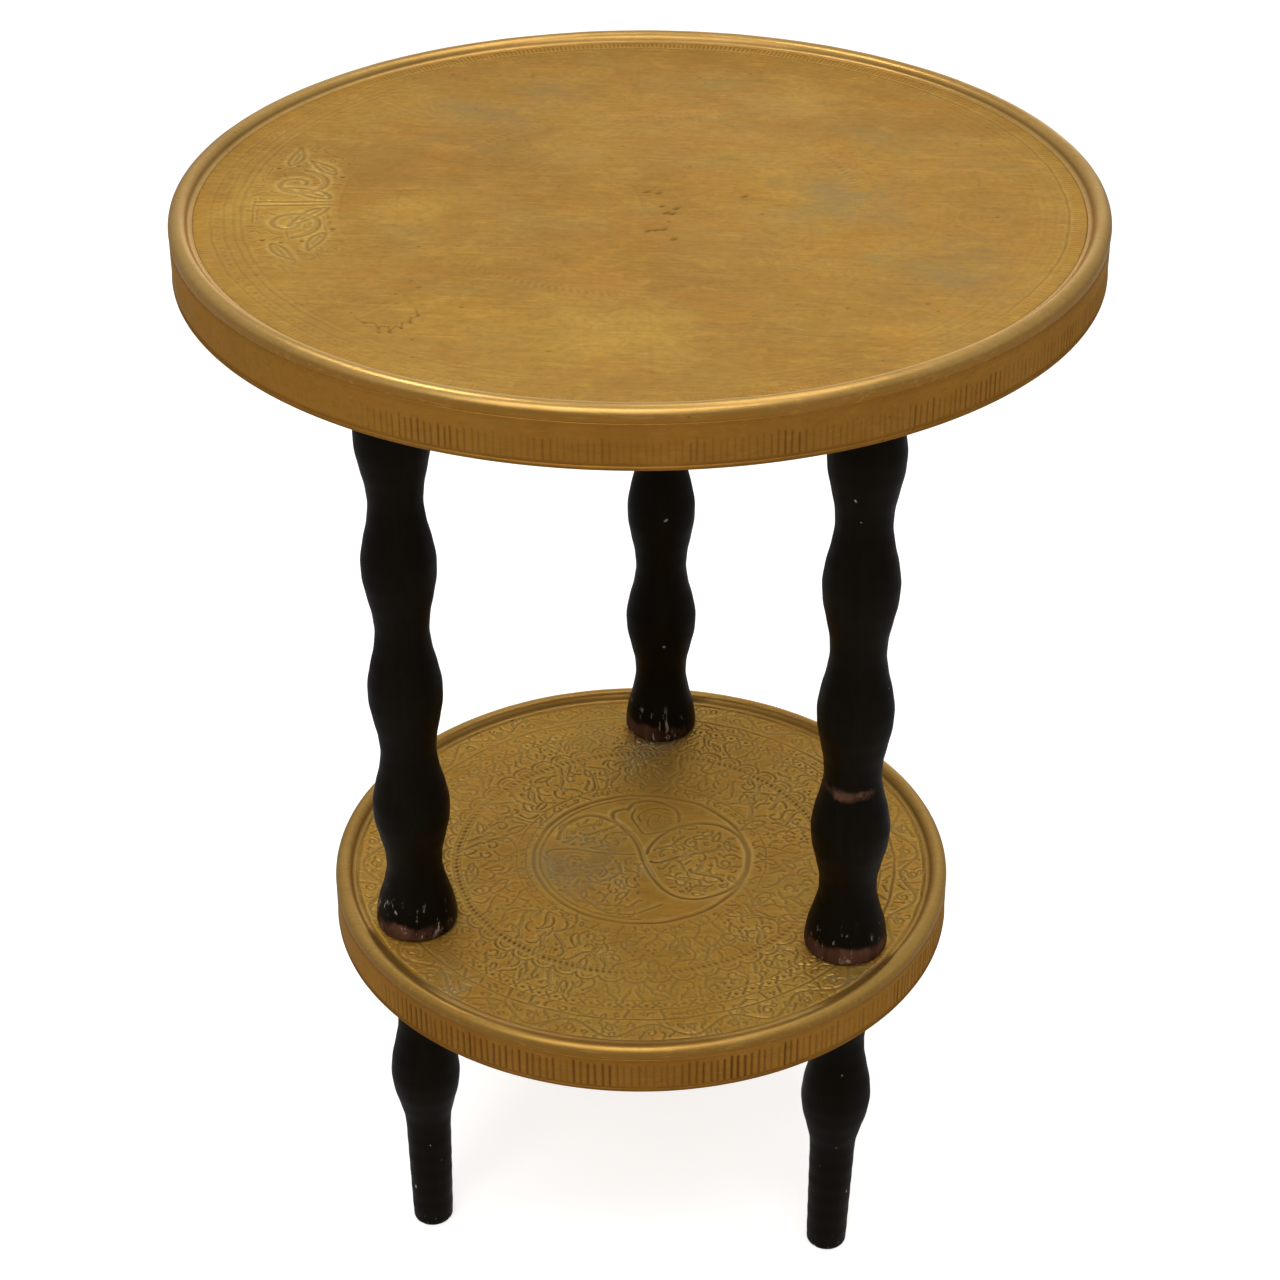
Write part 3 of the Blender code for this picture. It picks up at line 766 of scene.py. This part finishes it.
def wave_radius(waves, height):
    """The turned radius at a height, in half waves between crests and waists."""
    heights = np.array([z for z, _ in waves])[::-1]
    radii = np.array([r for _, r in waves])[::-1]
    k = np.clip(np.searchsorted(heights, height) - 1, 0, len(heights) - 2)
    share = np.clip((height - heights[k]) / (heights[k + 1] - heights[k]), 0, 1)
    swing = (1 - np.cos(np.pi * share)) / 2
    return radii[k] + (radii[k + 1] - radii[k]) * swing


def leg_profile(length, radius_at, end_round):
    """Heights, from the top down, and radii of a leg with rounded ends."""
    body = np.linspace(length - end_round, end_round, int(length / 1.3))
    edge = np.radians(np.linspace(90, 0, 7))[:-1]
    down, inward = end_round * (1 - np.sin(edge)), end_round * (1 - np.cos(edge))
    top_radius, foot_radius = radius_at(body[:1])[0], radius_at(body[-1:])[0]
    heights = np.concatenate([length - down, body, down[::-1]])
    radii = np.concatenate([top_radius - inward, radius_at(body), (foot_radius - inward)[::-1]])
    return heights, radii


def leg_chips(random, heights, turn, length):
    """Small chips in the finish, more of them low down, from 0 to 1."""
    chips = np.zeros((len(heights), LEG_STEPS))
    for _ in range(CHIPS):
        at, high = random.uniform(0, TAU), length * random.uniform(0, 1) ** 2.2
        size = random.uniform(0.5, 1.5)
        off = (np.mod(turn - at + math.pi, TAU) - math.pi) * MEAN_RADIUS
        chips = np.maximum(chips, np.exp(-((off**2 + ((heights - high) * 0.8) ** 2) / size**2)))
    return chips


def turned_leg(name, place, length, radius_at, wear_at, seed, end_round, lean=0.0):
    """A solid turned leg. radius_at and wear_at give its radius and its lost finish by height."""
    rows, profile = leg_profile(length, radius_at, end_round)
    turn, heights = angles(LEG_STEPS)[None, :], rows[:, None]
    random = np.random.default_rng(seed)
    lumps = uneven(turn + heights / 90, seed, (1, 2, 3)) * 0.16
    rings = 0.07 * np.sin(heights / 1.9 + random.uniform(0, TAU))
    wear, scars = wear_at(heights, turn)
    chips = leg_chips(random, heights, turn, length)
    radii = profile[:, None] + lumps + rings - 0.35 * chips * (0.3 + wear) - 0.12 * wear
    points = turned_points(radii, rows, LEG_STEPS)
    points = np.vstack([points, [[0, 0, rows[0]], [0, 0, rows[-1]]]])
    points[:, 0] += lean * (1 - points[:, 2] / length)
    points += np.asarray(place) / MM
    attributes = {
        "wear": np.append(wear.ravel(), [0, wear[-1].mean()]),
        "chips": np.append(chips.ravel(), [0, 0]),
        "scars": np.append(scars.ravel(), [0, 0]),
    }
    return new_object(name, points, capped_faces(len(rows), LEG_STEPS), attributes)


def domed_tack(name, place, head_top):
    """A small round nail: a domed head under the flange and a shank that runs up into the board."""
    head = arc((0, head_top + 0.6), 2.6, -90, -28, 7)[1:]
    shank = np.array([(2.2, head_top - 0.4), (2.05, head_top), (0.7, head_top), (0.7, head_top + 7)])
    profile = np.vstack([shank[::-1], head[::-1]])
    points = turned_points(profile[:, 0], profile[:, 1], TACK_STEPS)
    points = np.vstack([points, [[0, 0, head_top + 9], [0, 0, head_top - 2.0]]])
    points += np.array([place[0] / MM, place[1] / MM, 0])
    attributes = {"dirt_and_shade": np.zeros(len(points))}
    return new_object(name, points, capped_faces(len(profile), TACK_STEPS), attributes)


# ---------------------------------------------------------------- materials


class Nodes:
    """A node tree, with short calls for the nodes used here."""

    def __init__(self, tree, coordinates):
        self.tree = tree
        self.place = self.add("ShaderNodeTexCoord").outputs[coordinates]

    def add(self, kind, **settings):
        node = self.tree.nodes.new(kind)
        for key, value in settings.items():
            setattr(node, key, value)
        return node

    def put(self, socket, value):
        """Links an output to a socket, or sets the socket's value."""
        if isinstance(value, bpy.types.NodeSocket):
            self.tree.links.new(value, socket)
        elif isinstance(value, tuple) and len(value) == 3 and socket.type == "RGBA":
            socket.default_value = (*value, 1.0)
        else:
            socket.default_value = value

    def feed(self, node, **values):
        """Puts values into a node's inputs, named with _ for each space."""
        for key, value in values.items():
            self.put(node.inputs[key.replace("_", " ")], value)
        return node

    def ramp(self, value, low, high, to_low=0.0, to_high=1.0):
        node = self.add("ShaderNodeMapRange", interpolation_type="SMOOTHSTEP")
        self.feed(node, Value=value, From_Min=low, From_Max=high, To_Min=to_low, To_Max=to_high)
        return node.outputs["Result"]

    def math(self, operation, a, b=0.0):
        node = self.add("ShaderNodeMath", operation=operation)
        self.put(node.inputs[0], a)
        self.put(node.inputs[1], b)
        return node.outputs["Value"]

    def times(self, a, b):
        return self.math("MULTIPLY", a, b)


class Shader(Nodes):
    """A material's node tree."""

    def __init__(self, name):
        self.material = bpy.data.materials.new(name)
        self.material.use_nodes = True
        super().__init__(self.material.node_tree, "Object")
        self.surface = self.tree.nodes["Principled BSDF"]

    def noise(self, scale, detail=4.0, roughness=0.55, stretch=None, distortion=0.0):
        at = self.place
        if stretch:
            at = self.feed(self.add("ShaderNodeMapping"), Vector=at, Scale=stretch).outputs["Vector"]
        node = self.add("ShaderNodeTexNoise")
        self.feed(node, Vector=at, Scale=scale, Detail=detail, Roughness=roughness, Distortion=distortion)
        return node.outputs["Fac"]

    def spots(self, scale, size):
        """Small round marks: 1 in the middle of a mark and 0 outside."""
        node = self.feed(self.add("ShaderNodeTexVoronoi"), Vector=self.place, Scale=scale)
        return self.ramp(node.outputs["Distance"], size, 0.0)

    def mix(self, share, a, b):
        """Colour a where share is 0 and colour b where it is 1."""
        node = self.add("ShaderNodeMix", data_type="RGBA")
        for socket, value in ((0, share), (6, a), (7, b)):
            self.put(node.inputs[socket], value)
        return node.outputs[2]

    def tint(self, colour, share, amount, other):
        """The colour, with up to that amount of another one where share is 1."""
        return self.mix(self.times(share, amount), colour, other)

    def attribute(self, name):
        return self.add("ShaderNodeAttribute", attribute_name=name).outputs["Fac"]

    def bump(self, height, strength, distance):
        node = self.feed(self.add("ShaderNodeBump"), Height=height, Strength=strength, Distance=distance)
        self.put(self.surface.inputs["Normal"], node.outputs["Normal"])

    def finish(self, colour, roughness, metallic=0.0, specular=0.5, edge=(1.0, 1.0, 1.0)):
        """Sets the surface. edge tints the reflections."""
        settings = {"Base_Color": colour, "Metallic": metallic, "Specular_IOR_Level": specular}
        self.feed(self.surface, Roughness=roughness, Specular_Tint=edge, **settings)
        return self.material


def shade(colour, *by):
    """A colour with its channels multiplied, all alike or each by its own number."""
    return tuple(min(1.0, c * k) for c, k in zip(colour, by * 3 if len(by) == 1 else by))


WARM_PATINA = (0.66, 0.42, 0.085)
GREY_STAIN = (0.27, 0.20, 0.095)
RUBBED_BURR_HIGHLIGHT = (0.86, 0.56, 0.145)
CHALK = (0.42, 0.38, 0.25)


def mottled(s, colour, bright):
    """Orange, olive, pale and brown patches of a sheet's patina."""
    orange = s.ramp(s.noise(26.0, 5.0, 0.6, distortion=0.6), 0.48, 0.66)
    colour = s.tint(colour, orange, 0.55, shade(bright, 1, 0.82, 0.72))
    olive = s.ramp(s.noise(17.0, 5.0, 0.6, stretch=(1.0, 1.6, 1.6), distortion=0.4), 0.52, 0.70)
    colour = s.tint(colour, olive, 0.50, shade(bright, 0.82, 0.98, 1.5))
    mottle = s.noise(52.0, 5.0, 0.65, stretch=(1.0, 1.7, 1.7), distortion=0.5)
    colour = s.mix(s.ramp(mottle, 0.52, 0.68, 0.0, 0.35), colour, shade(bright, 1.3, 1.34, 1.4))
    return s.mix(s.ramp(mottle, 0.46, 0.32, 0.0, 0.35), colour, shade(bright, 0.68, 0.64, 0.62))


def rubbed(s, colour, bright, brown, grain):
    """Fine grain, and dark and bright rubbing streaks."""
    fine = s.ramp(s.noise(240.0, 4.0, 0.65), 0.40, 0.70)
    colour = s.tint(colour, fine, grain, shade(brown, 0.62))
    dark_rub = s.ramp(s.noise(30.0, 5.0, 0.7, stretch=(1.0, 13.0, 13.0)), 0.50, 0.70)
    colour = s.tint(colour, dark_rub, 0.30, shade(brown, 0.66))
    bright_rub = s.ramp(s.noise(41.0, 5.0, 0.7, stretch=(1.0, 11.0, 11.0)), 0.52, 0.72)
    return s.tint(colour, bright_rub, 0.40, shade(bright, 1.28))


def haired(s, colour, bright, brown):
    """Hairline scratches in patches."""
    hairs = s.noise(95.0, 3.0, 0.6, stretch=(1.0, 10.0, 10.0))
    patchy = s.ramp(s.noise(22.0, 3.0, 0.5), 0.38, 0.66, 0.05, 0.36)
    colour = s.tint(colour, s.ramp(hairs, 0.56, 0.68), patchy, shade(bright, 1.5))
    return s.tint(colour, s.ramp(hairs, 0.43, 0.33), patchy, shade(brown, 0.55))


def brass(name, tones, grime, gloss=(0.42, 0.56), sheet=False, **finish):
    """Aged brass: two tones, rubbing streaks, pits, grime in the cuts, painted shade in rim and band
    creases and, on a sheet, grey stains and painted highlights on burrs.

    finish may set the share of grime and painted shade, grain, metallic, under (the tone of a bead's outer
    side, partly painted shade) and edge.
    """
    s = Shader(name)
    bright, brown = tones
    grime_share = finish.get("grime_share", 0.7)
    cuts = s.attribute("dirt_and_shade")
    clouds = s.ramp(s.noise(8.0, 6.0, 0.6, distortion=0.4), 0.30, 0.72)
    if sheet:
        warm = s.attribute("warm")
        clouds = s.math("SUBTRACT", clouds, s.times(warm, 0.5))
    colour = s.mix(s.ramp(clouds, 0.0, 1.0), bright, brown)
    if sheet:
        colour = s.tint(colour, s.ramp(warm, 0.0, 1.0), 0.4, WARM_PATINA)
        colour = mottled(s, colour, bright)
    # A bead's outer side takes the under tone: partly the brass's own tone, partly painted shade.
    if "under" in finish:
        colour = s.mix(s.attribute("patina"), colour, finish["under"])
    colour = rubbed(s, colour, bright, brown, finish.get("grain", 0.12))
    if sheet:
        colour = haired(s, colour, bright, brown)
        ragged = s.ramp(s.noise(30.0, 6.0, 0.65), 0.32, 0.66)
        bloom = s.times(s.attribute("bloom"), ragged)
        colour = s.tint(colour, bloom, 0.55, GREY_STAIN)
    pits = s.times(s.spots(130.0, 0.12), s.ramp(s.noise(14.0), 0.50, 0.62))
    colour = s.tint(colour, pits, 0.8, grime)
    # The marked cuts and creases take the dark tone: grime in a sheet's engraving and a band's ribs,
    # painted shade in a rim's and a band's creases.
    colour = s.tint(colour, cuts, grime_share, grime)
    rough = s.ramp(s.noise(18.0, 6.0, 0.6), 0.3, 0.7, *gloss)
    rough = s.math("ADD", rough, s.times(cuts, 0.12))
    # On a sheet the burrs beside the cuts are brightened and made smoother: partly rubbed metal, partly a
    # painted highlight.
    if sheet:
        burr = s.attribute("burr")
        colour = s.tint(colour, burr, 0.95 * grime_share, RUBBED_BURR_HIGHLIGHT)
        rough = s.math("SUBTRACT", rough, s.times(burr, 0.16))
        colour = s.tint(colour, s.times(bloom, cuts), 0.75, CHALK)
    scratches = s.noise(110.0, 7.0, 0.72, stretch=(1.0, 5.0, 5.0))
    s.bump(s.math("SUBTRACT", scratches, s.times(pits, 1.5)), 0.35 if sheet else 0.12, 0.0006)
    edge = finish.get("edge", (1, 0.86, 0.55))
    return s.finish(colour, rough, metallic=finish.get("metallic", 0.8), edge=edge)


def ebonised_wood(name):
    """Black satin finish over wood: worn through to red-brown where it is rubbed, with pale chips."""
    s = Shader(name)
    grain = s.noise(60.0, 6.0, 0.65, stretch=(1.0, 1.0, 0.06))
    black = s.mix(s.ramp(grain, 0.35, 0.7), (0.0032, 0.0024, 0.0015), (0.0054, 0.0038, 0.0021))
    wood = s.mix(s.ramp(grain, 0.3, 0.7), (0.120, 0.055, 0.034), (0.050, 0.020, 0.012))
    ragged = s.noise(95.0, 6.0, 0.7)
    edge = s.math("ADD", s.attribute("wear"), s.times(s.math("SUBTRACT", ragged, 0.5), 1.3))
    lost = s.ramp(edge, 0.42, 0.90)
    colour = s.mix(lost, black, wood)
    chip = s.times(s.attribute("chips"), s.ramp(s.noise(240.0, 4.0, 0.6), 0.5, 0.58))
    colour = s.mix(s.ramp(chip, 0.35, 0.6), colour, (0.28, 0.19, 0.14))
    scratch = s.ramp(s.noise(330.0, 3.0, 0.6, stretch=(1.0, 1.0, 0.25)), 0.56, 0.64)
    patch = s.ramp(s.noise(120.0, 3.0, 0.6), 0.46, 0.56)
    scratch = s.times(scratch, patch)
    colour = s.tint(colour, scratch, s.attribute("scars"), (0.46, 0.40, 0.34))
    rough = s.ramp(s.noise(30.0, 5.0, 0.6), 0.3, 0.7, 0.34, 0.52)
    rough = s.math("ADD", rough, s.times(lost, 0.2))
    s.bump(s.math("SUBTRACT", grain, s.times(lost, 0.8)), 0.25, 0.0004)
    return s.finish(colour, rough, specular=0.08, edge=(1.0, 0.82, 0.6))


def board_wood(name):
    """Old bare softwood: long grain, darker late wood and stains."""
    s = Shader(name)
    grain = s.noise(8.0, 7.0, 0.66, stretch=(1.0, 26.0, 5.0), distortion=0.4)
    colour = s.mix(s.ramp(grain, 0.36, 0.68), (0.27, 0.155, 0.075), (0.15, 0.078, 0.037))
    pores = s.noise(160.0, 5.0, 0.7, stretch=(0.12, 2.0, 2.0))
    colour = s.tint(colour, s.ramp(pores, 0.5, 0.7), 0.5, (0.06, 0.03, 0.015))
    stain = s.ramp(s.noise(6.0, 4.0, 0.5), 0.5, 0.72)
    colour = s.tint(colour, stain, 0.45, (0.07, 0.04, 0.022))
    s.bump(s.math("ADD", grain, s.times(pores, 0.5)), 0.35, 0.0008)
    return s.finish(colour, s.ramp(pores, 0.3, 0.7, 0.62, 0.85), specular=0.3)


def dull_steel(name):
    """Plain steel with a brown bloom of rust."""
    s = Shader(name)
    bloom = s.ramp(s.noise(160.0, 6.0, 0.65), 0.5, 0.7)
    colour = s.mix(bloom, (0.42, 0.41, 0.40), (0.19, 0.10, 0.06))
    s.bump(s.noise(420.0, 4.0, 0.6), 0.2, 0.0003)
    return s.finish(colour, s.ramp(bloom, 0.0, 1.0, 0.32, 0.62), metallic=1.0)


# ---------------------------------------------------------------- the object


def place_piece(obj, material, slot, *nodes):
    obj.data.materials.append(material)
    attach(obj, "root")
    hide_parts(*nodes)


def tier_sizes(tier):
    """Radius, rim height, sheet height and underside of a tier, in millimetres."""
    rim_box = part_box(f"{tier}_rim")
    return (
        rim_box[1].x / MM,
        rim_box[1].z / MM,
        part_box(f"{tier}_sheet")[1].z / MM,
        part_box(f"{tier}_edge_band")[0].z / MM,
    )


def top_wear(x, y):
    """The top is rubbed nearly flat, but for a cartouche at -X and the border behind and at the right."""
    radius, turn = np.hypot(x, y), np.degrees(np.arctan2(y, x))
    from_left = np.abs(np.mod(turn - 186 + 180, 360) - 180)
    left = smooth(27, 18, from_left) * smooth(140, 146, radius) * smooth(188, 182, radius)
    at_border = smooth(185, 188, radius) * (0.15 * smooth(75, 30, from_left) + 0.05)
    kept_ticks = np.maximum(smooth(62, 40, np.abs(turn - 85)), 0.6 * smooth(40, 20, np.abs(turn)))
    ticked = smooth(198, 200, radius) * kept_ticks
    kept_rope = smooth(0.4, 0.95, np.sin(np.radians(turn * 3 + 40)))
    rope = smooth(6, 3, np.abs(radius - 104)) * (0.1 + 0.9 * kept_rope)
    swing = np.sin(x / 23 + 1) * np.sin(y / 19 + 2) + 0.4 * np.sin(x / 9) * np.sin(y / 11)
    patches = smooth(0.1, 0.9, swing)
    return np.clip(0.05 + 0.10 * patches + 0.9 * left + at_border + 0.8 * ticked + 0.22 * rope, 0, 1)


def shelf_wear(x, y):
    """The shelf kept most of its engraving, a little less where the sheet is rubbed."""
    rubbed = np.sin(x / 21 + 0.6) * np.sin(y / 25 + 2.2) + 0.5 * np.sin(x / 8) * np.sin(y / 10 + 1)
    return 0.48 + 0.52 * smooth(-0.6, 0.8, rubbed)


# Engraving, wear, grey-green stains and warmer or browner zones of each sheet; ribs of each band
LOOKS = {
    "top": {
        "cutter": top_engraving(214.0),
        "bruises": bruises,
        "wear": top_wear,
        "bloom": [(-92, 92, 44, 0.8), (-56, 128, 34, 0.7), (98, 12, 46, 1.0)]
        + [(148, -62, 48, 0.9), (112, 96, 36, 0.5)],
        "warm": [(-172, -18, 40, 1.0), (-108, -26, 28, 0.8), (-96, 56, 52, -0.9), (0, 20, 90, -0.5)]
        + [(8, -142, 50, 0.7), (64, 132, 44, 0.6), (-60, -60, 40, 0.3), (100, -110, 60, -0.5)],
    },
    "shelf": {
        "cutter": shelf_engraving(158.0),
        "wear": shelf_wear,
        "bloom": [(-32, -8, 42, 1.0), (-100, -112, 30, 0.8), (0, 106, 26, 1.0)]
        + [(121, -88, 26, 1.0), (-5, 80, 26, 0.6)],
        "warm": [(0, 118, 70, -0.7), (30, -60, 40, 0.5), (100, 0, 30, 0.3)]
        + [(-15, -125, 55, 1.0), (75, -105, 45, 0.8)],
    },
}
# Each band's ribs; the number for the hem is painted shade, deeper on the shelf.
RIBS = {
    "top": {"pitch": 3.05, "depth": 0.36, "width": 0.46, "starts": (0.26, 0.40), "hem_shade": 0.55},
    "shelf": {"pitch": 3.6, "depth": 0.65, "width": 0.62, "starts": (0.02, 0.14), "hem_shade": 0.7},
}
RIBS["top"]["seed"] = 23
RIBS["shelf"]["seed"] = 29
# Stretches of ribs that are worn or cut deeper: their start and end in degrees, and their strength
RIBS["top"]["stretches"] = [(170, 245, 0.04), (256, 261, 0.3)]
RIBS["shelf"]["stretches"] = [(170, 222, 0.10), (282, 298, 1.3)]


def make_tier(tier):
    radius, rim, floor, underside = tier_sizes(tier)
    sheet = engraved_sheet(f"{tier}_sheet_engraved", LOOKS[tier], radius, floor, CUT_DEPTHS[tier])
    place_piece(sheet, SHEET_BRASS[tier], "sheet_brass", f"{tier}_sheet")
    rolled = rolled_rim(f"{tier}_rim_rolled", radius, rim, RIBS[tier]["seed"] + 9)
    place_piece(rolled, RIM_BRASS[tier], "rim_brass", f"{tier}_rim")
    band = ribbed_band(f"{tier}_band_ribbed", radius, rim, underside, RIBS[tier])
    place_piece(band, BAND_BRASS, "band_brass", f"{tier}_edge_band")


def make_tacks(tier, count):
    for i in range(count):
        node = f"{tier}_tack_{i + 1:02d}"
        low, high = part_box(node)
        middle = (low + high) / 2
        tack = domed_tack(f"{node}_domed", (middle.x, middle.y), low.z / MM + 0.8)
        place_piece(tack, TACK_BRASS, "tack_brass", node)


def upper_wear(side):
    """Lost finish and pale scratches on an upper leg: at its foot, and a worn ring on the right leg."""
    amount = {"left": 0.74, "right": 1.0, "rear": 0.92}[side]
    scarred = {"left": 1.0, "right": 0.5, "rear": 0.9}[side]
    facing = {"left": 250, "right": 262, "rear": 222}[side]

    def wear_at(height, turn):
        front = 0.5 + 0.5 * np.cos(turn - math.radians(facing))
        foot = amount * (0.30 + 0.70 * front) * smooth(16, 7, height)
        ring_worn = 0.71 * front * bell(height - 102, 5.5) if side == "right" else 0.0
        scars = scarred * front**2 * smooth(26, 12, height)
        return np.clip(foot + ring_worn, 0, 1), scars

    return wear_at


def upper_radius(side):
    waves = UPPER_WAVES + [(FLARE_HEIGHT, FLARES[side])]

    def radius_at(height):
        girth = GIRTHS[side] * smooth(340, 320, height) * smooth(10, 40, height)
        return wave_radius(waves, height) + girth

    return radius_at


def lower_wear(height, turn):
    """A little lost finish where the feet stand."""
    all_round = np.ones_like(turn)
    return 0.5 * smooth(8, 2, height) * all_round, 0.4 * smooth(9, 3, height) * all_round


def lower_radius(height):
    waist, waist_radius = LOWER_WAVES[-1]
    shaft = FOOT_RADIUS + (waist_radius - FOOT_RADIUS) * np.clip(height / waist, 0, 1)
    return np.where(height > waist, wave_radius(LOWER_WAVES, height), shaft)


def make_leg(part, side, radius_at, wear_at, seed, end_round, lean=0.0):
    node = f"{part}_leg_{side}"
    low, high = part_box(node)
    place = ((low.x + high.x) / 2, (low.y + high.y) / 2, low.z)
    length = (high.z - low.z) / MM
    leg = turned_leg(f"{node}_turned", place, length, radius_at, wear_at, seed, end_round, lean)
    place_piece(leg, EBONISED, "ebonised_wood", node)


def make_legs():
    for seed, side in enumerate(LEGS):
        make_leg("upper", side, upper_radius(side), upper_wear(side), seed + 40, 2.6)
        lean = RIGHT_FOOT_LEAN if side == "right" else 0.0
        make_leg("lower", side, lower_radius, lower_wear, seed + 60, 2.4, lean)


def dress_kept_nodes():
    """The boards and the steel hardware keep their own shape."""
    for name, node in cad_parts.items():
        if node.hide_render:
            continue
        material = BOARD_WOOD if name.endswith("_board") else STEEL
        node.data.materials.clear()
        node.data.materials.append(material)


# ---------------------------------------------------------------- the studio


def make_camera():
    """Looks down 32 degrees at the front, from a little to the right of the gap between the front legs."""
    turn, down, roll = math.radians(5.13), math.radians(32.08), math.radians(0.14)
    back, up = 1.2503, 1.1307
    camera = linked("camera", bpy.data.cameras.new("camera"))
    camera.location = (back * math.sin(turn), -back * math.cos(turn), up)
    camera.rotation_euler = Euler((math.pi / 2 - down, roll, turn), "XYZ")
    camera.data.lens = 80.48
    camera.data.sensor_width = 36.0
    camera.data.shift_x = 0.0024
    bpy.context.scene.camera = camera


def make_floor():
    mesh = bpy.data.meshes.new("floor")
    half = 6.0
    corners = [(-half, -half, 0), (half, -half, 0), (half, half, 0), (-half, half, 0)]
    mesh.from_pydata(corners, [], [(0, 1, 2, 3)])
    floor = linked("floor", mesh)
    s = Shader("pale_floor")
    s.feed(s.surface, Emission_Color=(1, 1, 1), Emission_Strength=0.6)
    mesh.materials.append(s.finish((0.9, 0.9, 0.9), 0.9, specular=0.1))
    floor.visible_glossy = False


def area_light(name, place, target, size, power):
    light = bpy.data.lights.new(name, "AREA")
    light.shape = "RECTANGLE"
    light.size, light.size_y = size
    light.energy = power
    obj = linked(name, light)
    obj.location = place
    obj.rotation_euler = (Vector(target) - Vector(place)).to_track_quat("-Z", "Y").to_euler()


def make_world():
    """A soft studio: dim sides, a brighter ceiling and an upright strip of lit wall behind the table."""
    world = bpy.data.worlds.new("studio")
    world.use_nodes = True
    bpy.context.scene.world = world
    s = Nodes(world.node_tree, "Generated")
    split = s.feed(s.add("ShaderNodeSeparateXYZ"), Vector=s.place)
    across, along, up = (split.outputs[axis] for axis in "XYZ")
    ceiling = s.ramp(up, -0.1, 0.4, 0.22, 0.42)
    below = s.ramp(up, -0.45, 0.0, 0.14, 0.0)
    aside = s.math("ABSOLUTE", across)
    strip = s.times(s.ramp(aside, 0.08, 0.55, 1.0, 0.0), s.ramp(along, 0.25, 0.95, 0.0, 0.18))
    horizon = s.ramp(along, 0.94, 1.0, 0.0, 1.2)
    total = s.math("ADD", s.math("ADD", ceiling, below), s.math("ADD", strip, horizon))
    s.feed(s.tree.nodes["Background"], Color=(1.0, 0.985, 0.955), Strength=total)


# Brass tones, each a bright one and a brown one, with the grime in cuts (painted shade too in rim and band
# creases) and the tone under a bead (partly painted shade)
RIM_GRIME_AND_SHADE = (0.13, 0.062, 0.014)
SHEET_GRIME = (0.085, 0.042, 0.012)
BAND_TONES = (0.465, 0.216, 0.033), (0.38, 0.165, 0.0235)
TOP_RIM_TONES = (0.60, 0.365, 0.108), (0.51, 0.295, 0.078)
SHELF_RIM_TONES = (0.58, 0.345, 0.085), (0.47, 0.26, 0.056)
TOP_TONES = (0.51, 0.28, 0.044), (0.41, 0.207, 0.031)
SHELF_TONES = (0.60, 0.332, 0.048), (0.50, 0.262, 0.037)
TOP_UNDER = (0.42, 0.195, 0.029)
SHELF_UNDER = (0.36, 0.17, 0.026)
RIM = {"grain": 0.05, "edge": (1, 0.95, 0.82)}
PLATE = {"sheet": True, "grain": 0.3}
RIM_BRASS = {
    "top": brass("top_rim_brass", TOP_RIM_TONES, RIM_GRIME_AND_SHADE, (0.30, 0.38), under=TOP_UNDER, **RIM),
    "shelf": brass("shelf_rim_brass", SHELF_RIM_TONES, RIM_GRIME_AND_SHADE, (0.32, 0.40), under=SHELF_UNDER, **RIM),
}
BAND_BRASS = brass("band_brass", BAND_TONES, (0.10, 0.038, 0.006), grime_share=0.8)
SHEET_BRASS = {
    "top": brass("top_sheet_brass", TOP_TONES, SHEET_GRIME, grime_share=0.75, metallic=0.6, **PLATE),
    "shelf": brass("shelf_sheet_brass", SHELF_TONES, SHEET_GRIME, grime_share=0.95, metallic=0.55, **PLATE),
}
TACK_BRASS = brass("tack_brass", ((0.55, 0.32, 0.09), (0.42, 0.23, 0.06)), (0.10, 0.05, 0.015))
EBONISED = ebonised_wood("ebonised_wood")
BOARD_WOOD = board_wood("board_wood")
STEEL = dull_steel("steel")

make_camera()
make_world()
make_floor()
area_light("overhead_left", (-0.8, 0.3, 2.3), (0, 0, 0.5), (0.5, 0.5), 7)
area_light("overhead_right", (0.5, 0.3, 2.4), (0, 0, 0.5), (1.6, 0.5), 8)
area_light("front_high", (0.1, -1.25, 2.2), (0, 0, 0.4), (1.8, 0.4), 11)
area_light("front", (-0.4, -2.0, 1.9), (0, 0, 0.3), (2.2, 1.0), 12)

make_tier("top")
make_tier("shelf")
make_tacks("top", 12)
make_tacks("shelf", 8)
make_legs()
dress_kept_nodes()
bpy.context.scene.view_settings.view_transform = "Standard"
